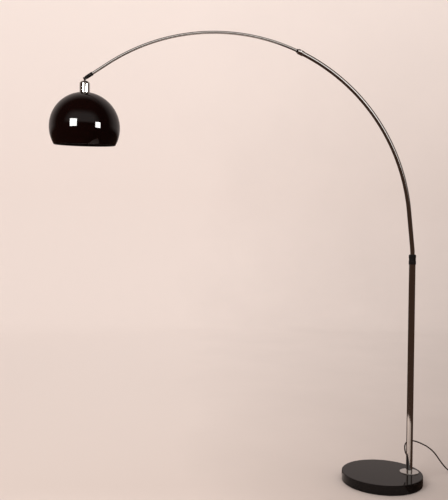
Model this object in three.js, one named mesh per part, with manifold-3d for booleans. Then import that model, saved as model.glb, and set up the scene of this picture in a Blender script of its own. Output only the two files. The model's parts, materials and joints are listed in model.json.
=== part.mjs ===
// Arc floor lamp: a stone base, a pole, a telescoping chrome arc and a hanging dome shade.
// Millimetres, +Z up. The origin is the middle of the base's underside, and the arc reaches towards -X.
import * as THREE from "three";
import { mergeVertices } from "three/addons/utils/BufferGeometryUtils.js";
import Module from "manifold-3d";

const wasm = await Module();
wasm.setup();

// Clearances
const fitGap = 0.3; // between pieces that touch or are fastened together
const slideGap = 0.5; // between pieces that slide or turn on each other
const arcPlay = 0.35; // more, where a straight piece sits on or in a curved tube

// Base
const baseDiameter = 350;
const baseHeight = 42.5; // with its felt
const baseEdgeRadius = 2.5;
const feltThickness = 2;
const feltInset = 5;
const flangeDiameter = 81.5;
const flangeThickness = 3.5;
const boltDiameter = 12;
const boltHeadAcrossFlats = 18;
const boltHeadHeight = 7.5;
const washerDiameter = 34;
const washerThickness = 2.5;
const footPlugHeight = 30;

// Pole and its collar
const poleInset = 53.5; // from the base's edge to the pole's axis
const poleWall = 2;
const poleTopHeight = 985;
const collarWall = 1.3;
const collarHeight = 44;
const collarOverlap = 23.5; // how far the collar reaches down the pole
const topBushLength = 50;
const topBushWall = 1.45;
const bushFlangeThickness = 1.7;

// Mast: the outer tube of the arc, which slides and turns in the pole
const mastDiameter = 19.5;
const mastWall = 1.2;
const mastInsertion = 300; // below the collar's top
const guideBushLength = 32;
const guideSeatDepth = 20;
const bendRadius = 300; // of the bend where the mast leaves the vertical
const bendRise = 3; // from the collar's top to the start of that bend

// The arc that both tubes share
const arcRadius = 856;
const arcStandOff = 13.5; // from the pole's axis to the arc's outermost point
const arcRise = 102.8; // from the collar's top to the height of the arc's middle
const mastEndAngle = 65.9; // degrees along the arc, from the pole's side
const boomStartAngle = 49;
const boomEndAngle = 124;

// Boom: the inner tube of the arc
const boomWall = 1.5;
const boomStraightEnd = 105; // the straight run after the arc
const guideRingLength = 12;

// Reach clamp at the end of the mast
const clampWall = 1.4;
const clampLength = 26;
const clampBushWall = 1;
const clampBushLength = 30;
const clampBushRim = 6;
const clampBushRimWall = 1.8;
const clampScrewDiameter = 5;
const clampKnobDiameter = 9.5;
const clampKnobHeight = 6;

// End sleeve and the link that the shade hangs from
const sleeveWall = 1.45;
const sleeveStart = 79; // along the straight run
const sleeveLength = 46;
const sleeveRoll = -6.4; // degrees that the sleeve is turned on its tube, which leans the shade
const pivotPlace = 119; // along the straight run
const linkDiameter = 10;
const linkDrop = 12; // from the pivot to the top of the cap
const linkWireRoom = 1.6; // that the link's bore is wider than its lead
const pivotPinDiameter = 3.2;
const sleeveScrewDiameter = 4;

// Cap, shade and lampholder
const capRoom = 1.3; // between the cap and the lampholder
const capHeight = 47.5;
const capWall = 1.2;
const capTopRadius = 13;
const shadeDiameter = 305;
const shadeWall = 2.5;
const shadeDropBelowMiddle = 75.6; // from the ball's middle down to its cut rim
const shadeHoleRoom = 0.6; // between the shade's hole and the lampholder
const holderRoom = 4.1; // between the bulb's cap and the lampholder's shell
const holderWall = 2.6;
const holderLength = 60;
const ringWidth = 9.3;
const ringThickness = 6;
const nutThickness = 5;
const bulbDiameter = 60;
const bulbLength = 107;
const bulbCapDiameter = 26;
const bulbCapHeight = 25;

// Wiring inside the tubes
const leadPlay = 0.75; // between a lead and the boom's bore
const leadSpacing = 0.8; // between two leads that lie side by side
const leadSetback = 6; // how far inside a tube's end its lead starts

// Mains cord, foot switch and plug
const cordDiameter = 6;
const cordExitHeight = 108;
const reliefLength = 22;
const exitReliefLength = 24;
const switchLength = 60;
const switchWidth = 34;
const switchBaseHeight = 7;
const switchHeight = 19;
const switchWall = 2;
const switchCordHeight = 8;
const buttonDiameter = 20;
const buttonProud = 5;
const buttonTravel = 3;
const coilTurnsAcross = 4;
const coilLayers = 2;
const coilMeanDiameter = 66;
const tieWidth = 6;
const tieThickness = 0.8;
const plugLength = 35;
const plugWidth = 32;
const plugHeight = 14;
const pinDiameter = 4;
const pinLength = 19;
const pinSpacing = 19;

// Where the loose pieces lie on the floor, and the cord's route between them
const switchPlace = new THREE.Vector3(413, 133, 0);
const switchHeading = 16; // degrees from +X
const coilPlace = new THREE.Vector3(447, 222, 0);
const plugPlace = new THREE.Vector3(485.3, 304, 0); // the back of the plug's body
const plugHeading = 96;

const lampCordRoute = [
  [121.5, 51.3, 109.3],
  [121.5, 59.5, 114],
  [121.5, 65.4, 121.2],
  [121.5, 68.8, 130],
  [122.2, 69.5, 139.2],
  [125.4, 69.3, 147.9],
  [131.2, 68.8, 155.1],
  [139.3, 68.2, 159.9],
  [148.6, 67.6, 161.6],
  [166, 67, 160],
  [183, 68.3, 154.5],
  [202, 71, 146],
  [224, 77, 134],
  [246, 84, 118],
  [264, 89, 101],
  [278, 93, 84],
  [292, 97, 65],
  [306, 101, 47],
  [320, 105.5, 31],
  [333, 109.5, 18.8],
  [346, 113.5, 11.3],
];
const middleCordRoute = [
  [475.5, 152.6, 7.6],
  [482.7, 159.5, 6.7],
  [487.4, 168.4, 5.7],
  [489, 178.2, 4.8],
];
const tailCordRoute = [
  [489, 257, 9.2],
  [488.6, 270, 7.6],
];

// Shared measures worked out from the sizes above
const poleBottom = baseHeight + fitGap;
const holderDiameter = bulbCapDiameter + 2 * (holderRoom + holderWall);
const poleOffset = baseDiameter / 2 - poleInset; // from the middle of the base to the pole's axis
const mastRadius = mastDiameter / 2;
const mastBore = mastRadius - mastWall;
const poleBore = mastRadius + slideGap + topBushWall + fitGap;
const poleRadius = poleBore + poleWall;
const poleDiameter = 2 * poleRadius;
const collarRadius = poleRadius + slideGap + collarWall;
const collarBottom = poleTopHeight - collarOverlap;
const collarTop = collarBottom + collarHeight;
const mastBottom = collarTop - mastInsertion;
const bendStart = collarTop + bendRise;
const clampBushOuter = mastBore - fitGap - arcPlay;
const clampBushInner = clampBushOuter - clampBushWall;
const clampInner = mastRadius + fitGap + arcPlay;
const clampRadius = clampInner + clampWall;
const clampMiddleAngle = mastEndAngle - clampLength / 2 / arcRadius / (Math.PI / 180);
const boomRadius = clampBushInner - fitGap - arcPlay;
const boomBore = boomRadius - boomWall;
const sleeveRadius = boomRadius + fitGap + sleeveWall;
const leadDiameter = boomBore - leadPlay - leadSpacing / 2;
const leadOffset = (leadDiameter + leadSpacing) / 2; // from the tube's centre line
const linkBore = leadDiameter + linkWireRoom;
const capRadius = holderDiameter / 2 + capRoom + capWall;
const capBottom = -linkDrop - capHeight; // below the pivot
const shadeRadius = shadeDiameter / 2;
const shadeMiddle = capBottom - fitGap - heightOnBall(shadeRadius, capRadius);
const cordRadius = cordDiameter / 2;
const degrees = Math.PI / 180;

// The mast leaves its bend and meets the arc along the line that touches both.
const arcMiddle = new THREE.Vector3(-arcRadius - arcStandOff, 0, collarTop + arcRise);
const bendMiddle = new THREE.Vector3(-bendRadius, 0, bendStart);
const leanAngle = touchingAngle(bendMiddle, bendRadius, arcMiddle, arcRadius);

function heightOnBall(radius, distance) {
  return Math.sqrt(radius * radius - distance * distance);
}

function touchingAngle(middleA, radiusA, middleB, radiusB) {
  const between = middleA.clone().sub(middleB);
  const turn = Math.atan2(between.z, between.x);
  return turn + Math.acos((radiusB - radiusA) / between.length());
}

// Materials
const finishes = {
  chrome: { color: 0xd6d2ce, roughness: 0.1, metalness: 1 },
  steel: { color: 0x9a9793, roughness: 0.35, metalness: 1 },
  brass: { color: 0xb89a55, roughness: 0.3, metalness: 1 },
  stone: { color: 0x0c0b0b, roughness: 0.08, metalness: 0 },
  shade: { color: 0x0a0809, roughness: 0.06, metalness: 0 },
  blackPlastic: { color: 0x141313, roughness: 0.38, metalness: 0 },
  nylon: { color: 0x1d1c1c, roughness: 0.55, metalness: 0 },
  felt: { color: 0x151515, roughness: 0.95, metalness: 0 },
  ceramic: { color: 0xe8e4dc, roughness: 0.4, metalness: 0 },
  glass: { color: 0xf1ede6, roughness: 0.3, metalness: 0 },
  cord: { color: 0x241c19, roughness: 0.5, metalness: 0 },
  lead: { color: 0xd8d2c6, roughness: 0.5, metalness: 0 },
};

function piece(name, geometry, finish, group) {
  const mesh = new THREE.Mesh(geometry, new THREE.MeshStandardMaterial(finishes[finish]));
  mesh.name = name;
  group.add(mesh);
  return mesh;
}

// Solids: three.js geometry in and out of manifold-3d
function solidOf(geometry) {
  const bare = geometry.clone();
  bare.deleteAttribute("normal");
  bare.deleteAttribute("uv");
  const merged = mergeVertices(bare, 1e-4);
  return new wasm.Manifold(
    new wasm.Mesh({
      numProp: 3,
      vertProperties: merged.attributes.position.array,
      triVerts: new Uint32Array(merged.index.array),
    }),
  );
}

function geometryOf(solid) {
  const mesh = solid.getMesh();
  const geometry = new THREE.BufferGeometry();
  geometry.setAttribute("position", new THREE.BufferAttribute(mesh.vertProperties, 3));
  geometry.setIndex(new THREE.BufferAttribute(mesh.triVerts, 1));
  const faceted = geometry.toNonIndexed();
  faceted.computeVertexNormals();
  return faceted;
}

function cut(geometry, ...tools) {
  return geometryOf(tools.reduce((solid, tool) => solid.subtract(solidOf(tool)), solidOf(geometry)));
}

function join(geometry, ...others) {
  return geometryOf(others.reduce((solid, other) => solid.add(solidOf(other)), solidOf(geometry)));
}

// Turned pieces: a profile of [radius, height] points spun about Z, its outside listed upwards.
function turned(profile, sides = 32) {
  const points = profile.map(([radius, height]) => new THREE.Vector2(radius, height));
  return new THREE.LatheGeometry(points, sides).rotateX(Math.PI / 2);
}

function rod(radius, bottom, top, sides = 24) {
  return turned([[0, bottom], [radius, bottom], [radius, top], [0, top]], sides);
}

function ring(inner, outer, bottom, top, sides = 32) {
  return turned([[inner, bottom], [outer, bottom], [outer, top], [inner, top], [inner, bottom]], sides);
}

// Points of a round corner in a turned profile, from one angle to another.
function corner(middleRadius, middleHeight, radius, from, to, steps = 4) {
  const points = [];
  for (let step = 0; step <= steps; step += 1) {
    const angle = (from + ((to - from) * step) / steps) * degrees;
    points.push([middleRadius + radius * Math.cos(angle), middleHeight + radius * Math.sin(angle)]);
  }
  return points;
}

function hexagon(acrossFlats, bottom, top) {
  return new THREE.CylinderGeometry(acrossFlats / Math.sqrt(3), acrossFlats / Math.sqrt(3), top - bottom, 6)
    .rotateX(Math.PI / 2)
    .translate(0, 0, (top + bottom) / 2);
}

// Lies along Y: a rod from one place to another, used for pins, screws and cross holes.
function crossRod(radius, from, to, sides = 16) {
  return rod(radius, from, to, sides).rotateX(-Math.PI / 2);
}

// A path through chosen stations, so that a straight run needs no steps and a bend gets all of its own.
class StationPath extends THREE.Curve {
  constructor(stations) {
    super();
    this.stations = stations;
  }

  between(place, key, target) {
    const last = this.stations.length - 1;
    const index = Math.min(Math.floor(place * last + 1e-6), last - 1);
    const share = Math.max(place * last - index, 0);
    return target.copy(this.stations[index][key]).lerp(this.stations[index + 1][key], share);
  }

  getPointAt(place, target = new THREE.Vector3()) {
    return this.between(place, "point", target);
  }

  getTangentAt(place, target = new THREE.Vector3()) {
    return this.between(place, "tangent", target).normalize();
  }
}

function lineStations(from, to) {
  const tangent = to.clone().sub(from).normalize();
  return [from, to].map((point) => ({ point: point.clone(), tangent }));
}

function pointOnArc(middle, radius, angle) {
  return new THREE.Vector3(Math.cos(angle), 0, Math.sin(angle)).multiplyScalar(radius).add(middle);
}

function arcTangent(angle) {
  return new THREE.Vector3(-Math.sin(angle), 0, Math.cos(angle));
}

function arcStations(middle, radius, from, to, steps) {
  return Array.from({ length: steps + 1 }, (unused, step) => {
    const angle = from + ((to - from) * step) / steps;
    return { point: pointOnArc(middle, radius, angle), tangent: arcTangent(angle) };
  });
}

// Stretches that meet share their end station.
function joined(...stretches) {
  return stretches.reduce((all, stretch) => {
    const last = all[all.length - 1];
    const meets = last && last.point.distanceTo(stretch[0].point) < 1e-3;
    return all.concat(meets ? stretch.slice(1) : stretch);
  }, []);
}

// ExtrudeGeometry takes half the sides as its curveSegments.
function tubeAlong(stations, radius, bore = 0, sides = 16) {
  const outline = new THREE.Shape().absarc(0, 0, radius, 0, 2 * Math.PI);
  if (bore > 0) {
    outline.holes.push(new THREE.Path().absarc(0, 0, bore, 0, 2 * Math.PI, true));
  }
  return new THREE.ExtrudeGeometry(outline, {
    steps: stations.length - 1,
    curveSegments: sides / 2,
    extrudePath: new StationPath(stations),
  });
}

function smoothStations(points, spacing) {
  const curve = new THREE.CatmullRomCurve3(points);
  const steps = Math.ceil(curve.getLength() / spacing);
  return Array.from({ length: steps + 1 }, (unused, step) => ({
    point: curve.getPointAt(step / steps),
    tangent: curve.getTangentAt(step / steps),
  }));
}

// The mast's centre line, moved outwards by an offset for the lead that lies beside it.
function mastStations(bottom, endAngle, offset = 0, arcSteps = 24) {
  const leaning = pointOnArc(bendMiddle, bendRadius + offset, leanAngle);
  const arcStart = pointOnArc(arcMiddle, arcRadius + offset, leanAngle);
  return joined(
    lineStations(new THREE.Vector3(offset, 0, bottom), new THREE.Vector3(offset, 0, bendStart)),
    arcStations(bendMiddle, bendRadius + offset, 0, leanAngle, 2),
    lineStations(leaning, arcStart),
    arcStations(arcMiddle, arcRadius + offset, leanAngle, endAngle, arcSteps),
  );
}

// A group on the arc, or on the straight run past its end, with +Z along the tube and +X outwards.
function placeOnArc(angle, along = 0) {
  const group = new THREE.Group();
  group.position.copy(pointOnArc(arcMiddle, arcRadius, angle)).addScaledVector(arcTangent(angle), along);
  group.rotation.y = -angle;
  return group;
}

function makeBase() {
  const group = new THREE.Group();
  const stoneBottom = feltThickness + fitGap;
  const radius = baseDiameter / 2;
  const edge = baseEdgeRadius;
  const boltAxis = (geometry) => geometry.translate(poleOffset, 0, 0);

  const stone = turned(
    [
      [0, stoneBottom],
      [radius - 1, stoneBottom],
      [radius, stoneBottom + 1],
      ...corner(radius - edge, baseHeight - edge, edge, 0, 90),
      [0, baseHeight],
    ],
    72,
  );
  const counterboreDepth = boltHeadHeight + washerThickness + 4 * fitGap;
  const counterbore = rod(washerDiameter / 2 + 1, stoneBottom - 1, stoneBottom + counterboreDepth);
  const boltHole = rod(boltDiameter / 2 + fitGap, stoneBottom, baseHeight + 1);
  piece("base_stone", cut(stone, boltAxis(counterbore), boltAxis(boltHole)), "stone", group);

  const felt = rod(radius - feltInset, 0, feltThickness, 64);
  const feltHole = rod(washerDiameter / 2 + 2, -1, feltThickness + 1);
  piece("base_felt", cut(felt, boltAxis(feltHole)), "felt", group);

  const fixings = new THREE.Group();
  fixings.position.x = poleOffset;
  group.add(fixings);
  const washerTop = stoneBottom + counterboreDepth - fitGap;
  const washerBottom = washerTop - washerThickness;
  const washer = ring(boltDiameter / 2 + fitGap, washerDiameter / 2, washerBottom, washerTop);
  piece("base_washer", washer, "steel", fixings);

  const headTop = washerBottom - fitGap;
  const shankTop = poleBottom + footPlugHeight - 4;
  const bolt = join(
    hexagon(boltHeadAcrossFlats, headTop - boltHeadHeight, headTop),
    rod(boltDiameter / 2, headTop - 1, shankTop),
  );
  piece("base_bolt", bolt, "steel", fixings);
  return group;
}

function makePole() {
  const group = new THREE.Group();
  group.position.x = poleOffset;

  const inner = poleRadius + fitGap;
  const outer = flangeDiameter / 2;
  const flangeBottom = baseHeight + fitGap;
  const flange = turned([
    [inner, flangeBottom],
    [outer, flangeBottom],
    ...corner(outer - 1.5, flangeBottom + 1, 1.5, 0, 80, 3),
    [poleRadius + 3, flangeBottom + flangeThickness],
    [inner, flangeBottom + flangeThickness],
    [inner, flangeBottom],
  ], 48);
  piece("base_flange", flange, "chrome", group);

  const plugTop = poleBottom + footPlugHeight;
  const footPlug = ring(boltDiameter / 2 + fitGap, poleBore - fitGap, poleBottom, plugTop);
  piece("pole_foot_plug", footPlug, "steel", group);

  const tube = ring(poleBore, poleRadius, poleBottom, poleTopHeight);
  const cordHole = crossRod(cordRadius + 1.5, 0, poleDiameter).translate(0, 0, cordExitHeight);
  piece("pole_tube", cut(tube, cordHole), "chrome", group);

  const bushTop = poleTopHeight + fitGap;
  const bushInner = mastRadius + slideGap;
  const topBush = turned([
    [bushInner, poleTopHeight - topBushLength],
    [poleBore - fitGap, poleTopHeight - topBushLength],
    [poleBore - fitGap, bushTop],
    [poleRadius - fitGap, bushTop],
    [poleRadius - fitGap, bushTop + bushFlangeThickness],
    [bushInner, bushTop + bushFlangeThickness],
    [bushInner, poleTopHeight - topBushLength],
  ]);
  piece("pole_top_bush", topBush, "nylon", group);
  return group;
}

function makeCollar() {
  const group = new THREE.Group();
  group.position.x = poleOffset;
  const outer = collarRadius;
  const wide = poleRadius + slideGap;
  const narrow = mastRadius + slideGap;
  const shoulder = poleTopHeight + bushFlangeThickness + 2 * fitGap;
  const waistHeight = collarBottom + collarHeight / 2;
  const waistDepth = 0.7;
  const dome = 5;
  const collar = turned([
    [wide, collarBottom],
    [outer - 0.6, collarBottom],
    [outer, collarBottom + 1.5],
    [outer, waistHeight - 9],
    [outer - waistDepth, waistHeight - 6],
    [outer - waistDepth, waistHeight + 6],
    [outer, waistHeight + 9],
    ...corner(outer - dome, collarTop - dome, dome, 0, 75),
    [narrow, collarTop],
    [narrow, shoulder],
    [wide, shoulder],
    [wide, collarBottom],
  ]);
  piece("height_collar", collar, "blackPlastic", group);
  return group;
}

// The bush at the foot of the mast slides in the pole, and the mast turns in it.
function makeGuideBush() {
  const group = new THREE.Group();
  group.position.x = poleOffset;
  const bottom = mastBottom - (guideBushLength - guideSeatDepth);
  const seat = mastBottom - fitGap;
  const bush = turned([
    [mastBore, bottom],
    [poleBore - slideGap - 1, bottom],
    [poleBore - slideGap, bottom + 1],
    [poleBore - slideGap, bottom + guideBushLength],
    [mastRadius + slideGap, bottom + guideBushLength],
    [mastRadius + slideGap, seat],
    [mastBore, seat],
    [mastBore, bottom],
  ]);
  piece("mast_guide_bush", bush, "nylon", group);
  return group;
}

function makeMast() {
  const group = new THREE.Group();
  group.position.x = poleOffset;
  const tube = tubeAlong(mastStations(mastBottom, mastEndAngle * degrees), mastRadius, mastBore);
  const onClamp = placeOnArc(clampMiddleAngle * degrees);
  onClamp.updateMatrix();
  const hole = crossRod(clampScrewDiameter / 2 + fitGap, -2 * clampRadius, 0);
  piece("outer_arc_tube", cut(tube, hole.clone().applyMatrix4(onClamp.matrix)), "chrome", group);

  group.add(onClamp);
  const half = clampLength / 2;
  const edge = clampWall - 0.2;
  const clampBody = turned([
    [clampInner, -half],
    [clampRadius - edge, -half],
    [clampRadius, -half + edge],
    [clampRadius, half - edge],
    [clampRadius - edge, half],
    [clampInner, half],
    [clampInner, -half],
  ], 24);
  piece("reach_clamp", cut(clampBody, hole), "chrome", onClamp);

  const rimBottom = half + fitGap + slideGap;
  const rimTop = rimBottom + clampBushRim;
  const rimRadius = clampBushInner + clampBushRimWall;
  const bushBody = turned([
    [clampBushInner, rimBottom - clampBushLength],
    [clampBushOuter, rimBottom - clampBushLength],
    [clampBushOuter, rimBottom],
    [rimRadius, rimBottom],
    [rimRadius, rimTop - 1],
    [rimRadius - 1, rimTop],
    [clampBushInner, rimTop],
    [clampBushInner, rimBottom - clampBushLength],
  ], 24);
  piece("clamp_bush", cut(bushBody, hole), "blackPlastic", onClamp);

  const leadEnd = (boomStartAngle + 5) * degrees;
  const leadStations = mastStations(mastBottom + leadSetback, leadEnd, -leadOffset, 20);
  piece("mast_lead", tubeAlong(leadStations, leadDiameter / 2, 0, 8), "lead", group);
  return group;
}

function makeClampScrew() {
  const onClamp = placeOnArc(clampMiddleAngle * degrees);
  onClamp.position.x += poleOffset;
  const headFace = -clampRadius - fitGap;
  const grip = clampKnobDiameter / 2;
  const screw = join(
    crossRod(clampScrewDiameter / 2, headFace - 1, -boomRadius - fitGap),
    crossRod(grip, headFace - clampKnobHeight + 1, headFace, 20),
    crossRod(grip - 1, headFace - clampKnobHeight, headFace - 1, 20),
  );
  piece("clamp_screw", screw, "chrome", onClamp);
  return onClamp;
}

function makeBoom() {
  const group = new THREE.Group();
  group.position.x = poleOffset;
  const startAngle = boomStartAngle * degrees;
  const endAngle = boomEndAngle * degrees;
  const arcEnd = pointOnArc(arcMiddle, arcRadius, endAngle);
  const along = (distance) => arcEnd.clone().addScaledVector(arcTangent(endAngle), distance);

  const tubeStations = joined(
    arcStations(arcMiddle, arcRadius, startAngle, endAngle, 40),
    lineStations(arcEnd, along(boomStraightEnd)),
  );
  piece("inner_arc_tube", tubeAlong(tubeStations, boomRadius, boomBore), "chrome", group);

  const onStart = placeOnArc(startAngle);
  group.add(onStart);
  const guide = ring(boomRadius + fitGap, mastBore - slideGap - arcPlay, 0.5, guideRingLength, 24);
  piece("boom_guide_ring", guide, "nylon", onStart);

  const leadStart = startAngle + leadSetback / arcRadius;
  const leadStations = joined(
    arcStations(arcMiddle, arcRadius + leadOffset, leadStart, endAngle, 24),
    lineStations(
      pointOnArc(arcMiddle, arcRadius + leadOffset, endAngle),
      along(pivotPlace - linkDiameter / 2 - 1.5),
    ),
  );
  piece("boom_lead", tubeAlong(leadStations, leadDiameter / 2, 0, 8), "lead", group);

  const onSleeve = placeOnArc(endAngle, sleeveStart).rotateZ(sleeveRoll * degrees);
  group.add(onSleeve);
  makeSleeve(onSleeve);
  return group;
}

function makeSleeve(group) {
  const outer = sleeveRadius;
  const tubeSeat = boomStraightEnd - sleeveStart + fitGap;
  const pivot = pivotPlace - sleeveStart;
  const slotWidth = linkDiameter + 2 * fitGap;
  const slotFloor = pivot - linkDiameter / 2 - 3;
  const body = turned([
    [0, 0],
    [outer - 1, 0],
    [outer, 1],
    [outer, sleeveLength - 1],
    [outer - 1, sleeveLength],
    [0, sleeveLength],
  ], 24);
  const tubeBore = rod(boomRadius + fitGap, -1, tubeSeat);
  const leadBore = rod(leadDiameter / 2 + 1.2, 0, sleeveLength);
  const slotLength = sleeveLength;
  const slot = new THREE.BoxGeometry(4 * outer, slotWidth, slotLength)
    .translate(0, 0, slotFloor + slotLength / 2);
  const pinHole = crossRod(pivotPinDiameter / 2 + fitGap, -2 * outer, 2 * outer)
    .translate(0, 0, pivot);
  const screwPlace = tubeSeat / 2 - 2;
  const screwHole = crossRod(sleeveScrewDiameter / 2 + fitGap, -2 * outer, 0)
    .translate(0, 0, screwPlace);
  piece("end_sleeve", cut(body, tubeBore, leadBore, slot, pinHole, screwHole), "blackPlastic", group);

  const screw = crossRod(sleeveScrewDiameter / 2, -outer - 0.4, -boomRadius - fitGap)
    .translate(0, 0, screwPlace);
  piece("sleeve_screw", screw, "steel", group);

  for (const [name, side] of [["link_pin_front", -1], ["link_pin_back", 1]]) {
    const headFace = outer + fitGap;
    const pin = join(
      crossRod(pivotPinDiameter / 2, linkDiameter / 2 - 1.6, headFace + 0.6),
      crossRod(pivotPinDiameter / 2 + 1, headFace, headFace + 1.2),
    );
    const mesh = piece(name, pin, "steel", group);
    mesh.position.z = pivot;
    mesh.rotation.z = side < 0 ? Math.PI : 0;
  }
}

// Everything below the pivot hangs from the link, whose eye is the group's origin. It hangs as upright as its
// pin lets it, and the pin leans with the sleeve.
function makeShade() {
  const group = placeOnArc(boomEndAngle * degrees, pivotPlace);
  group.position.x += poleOffset;
  const sleeveAxis = arcTangent(boomEndAngle * degrees);
  const pinAxis = new THREE.Vector3(0, 1, 0).applyAxisAngle(sleeveAxis, sleeveRoll * degrees);
  const upright = new THREE.Vector3(0, 0, 1).projectOnPlane(pinAxis).normalize();
  const across = pinAxis.clone().cross(upright);
  group.setRotationFromMatrix(new THREE.Matrix4().makeBasis(across, pinAxis, upright));

  const nutTop = -linkDrop - capWall - fitGap;
  const nutBottom = nutTop - nutThickness;
  const holderTop = nutBottom - fitGap;
  const stemBottom = holderTop - 6;
  const stemRadius = linkDiameter / 2 - 0.6;
  const pinBore = pivotPinDiameter / 2 + fitGap;
  const eye = crossRod(linkDiameter / 2, -linkDiameter / 2, linkDiameter / 2, 24);
  const linkBody = join(eye, rod(stemRadius, stemBottom, 0));
  const link = cut(
    linkBody,
    rod(linkBore / 2, stemBottom - 1, linkDiameter),
    crossRod(pinBore, -linkDiameter, -linkDiameter / 2 + 1.9),
    crossRod(pinBore, linkDiameter / 2 - 1.9, linkDiameter),
  );
  piece("hanger_link", link, "steel", group);

  const nutBlank = hexagon(15, nutBottom, nutTop);
  piece("cap_nut", cut(nutBlank, rod(stemRadius + fitGap, nutBottom - 1, nutTop + 1)), "steel", group);

  piece("shade_cap", makeCap(stemRadius + fitGap), "chrome", group);
  makeShell(group);
  makeHolder(group, holderTop, stemRadius);
  makeBulb(group, holderTop);

  const leadBottom = holderTop - holderWall - 10;
  const lead = rod(leadDiameter / 2, leadBottom, linkDiameter / 2 - 1, 8);
  piece("holder_lead", lead, "lead", group);
  return group;
}

function makeCap(holeRadius) {
  const top = -linkDrop;
  const outer = capRadius;
  const inner = outer - capWall;
  const innerCorner = capTopRadius - capWall;
  const outsideCorner = corner(outer - capTopRadius, top - capTopRadius, capTopRadius, 0, 90, 6);
  const insideCorner = corner(outer - capTopRadius, top - capTopRadius, innerCorner, 90, 0, 6);
  return turned([
    [inner, capBottom],
    [outer, capBottom],
    ...outsideCorner,
    [holeRadius, top],
    [holeRadius, top - capWall],
    ...insideCorner,
    [inner, capBottom],
  ], 40);
}

// The shade is a ball with a round hole at its top and its bottom cut away.
function makeShell(group) {
  const inside = shadeRadius - shadeWall;
  const rimHeight = -shadeDropBelowMiddle;
  const holeRadius = holderDiameter / 2 + shadeHoleRoom;
  const outerFrom = Math.asin(rimHeight / shadeRadius) / degrees;
  const outerTo = Math.acos(holeRadius / shadeRadius) / degrees;
  const innerFrom = Math.asin(rimHeight / inside) / degrees;
  const innerTo = Math.acos(holeRadius / inside) / degrees;
  const innerRim = [heightOnBall(inside, rimHeight), shadeMiddle + rimHeight];
  const shell = turned([
    innerRim,
    ...corner(0, shadeMiddle, shadeRadius, outerFrom, outerTo, 16),
    ...corner(0, shadeMiddle, inside, innerTo, innerFrom, 16),
  ], 48);
  piece("shade", shell, "shade", group);

  const ringInner = holderDiameter / 2 + fitGap;
  const ringOuter = holderDiameter / 2 + ringWidth;
  const ringTop = shadeMiddle + heightOnBall(inside, ringOuter) - fitGap;
  const grip = (ringInner + ringOuter) / 2;
  const shadeRing = turned([
    [ringInner, ringTop - ringThickness],
    [grip, ringTop - ringThickness],
    [grip, ringTop - ringThickness / 2],
    [ringOuter, ringTop - ringThickness / 2],
    [ringOuter, ringTop],
    [ringInner, ringTop],
    [ringInner, ringTop - ringThickness],
  ]);
  piece("shade_ring", shadeRing, "blackPlastic", group);
}

function makeHolder(group, holderTop, stemRadius) {
  const outer = holderDiameter / 2;
  const inner = outer - holderWall;
  const bottom = holderTop - holderLength;
  const shoulder = 6;
  const shell = turned([
    [inner, bottom],
    [outer, bottom],
    [outer, holderTop - shoulder],
    [outer - shoulder, holderTop],
    [stemRadius + fitGap, holderTop],
    [stemRadius + fitGap, holderTop - holderWall],
    [outer - shoulder - 1, holderTop - holderWall],
    [inner, holderTop - shoulder - 1.5],
    [inner, bottom],
  ]);
  piece("holder_shell", shell, "blackPlastic", group);

  const coreTop = holderTop - holderWall - 10 - fitGap;
  const coreBottom = coreTop - 8;
  piece("holder_core", rod(inner - fitGap, coreBottom, coreTop), "ceramic", group);

  const contactTop = coreBottom - fitGap;
  const contact = rod(5, contactTop - 2, contactTop, 16);
  piece("holder_contact", contact, "brass", group);

  const threadInner = bulbCapDiameter / 2 + fitGap;
  const threadShell = ring(threadInner, threadInner + 0.8, contactTop - bulbCapHeight, contactTop, 24);
  piece("holder_thread", threadShell, "brass", group);
}

function makeBulb(group, holderTop) {
  const contactBottom = holderTop - holderWall - 10 - fitGap - 8 - fitGap - 2;
  const capTop = contactBottom - fitGap;
  const capRadius = bulbCapDiameter / 2;
  const capEnd = capTop - bulbCapHeight;
  const bulbCap = turned([
    [0, capEnd],
    [capRadius, capEnd],
    [capRadius, capTop - 5],
    [capRadius - 5, capTop - 1],
    [0, capTop],
  ], 24);
  piece("bulb_cap", bulbCap, "chrome", group);

  const radius = bulbDiameter / 2;
  const bottom = contactBottom - bulbLength;
  const ballMiddle = bottom + radius;
  const neckRadius = capRadius - 1;
  const neckTop = capEnd - fitGap;
  const sideAngle = 35;
  const side = [radius * Math.cos(sideAngle * degrees), ballMiddle + radius * Math.sin(sideAngle * degrees)];
  const neckCurve = new THREE.CubicBezierCurve(
    new THREE.Vector2(...side),
    new THREE.Vector2(side[0] - 7, side[1] + 10),
    new THREE.Vector2(neckRadius, neckTop - 14),
    new THREE.Vector2(neckRadius, neckTop),
  );
  const neck = neckCurve.getPoints(6).slice(1).map((point) => [point.x, point.y]);
  const glass = turned([
    [0, bottom],
    ...corner(0, ballMiddle, radius, -78, sideAngle, 12),
    ...neck,
    [0, neckTop],
  ], 28);
  piece("bulb_glass", glass, "glass", group);
}

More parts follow.
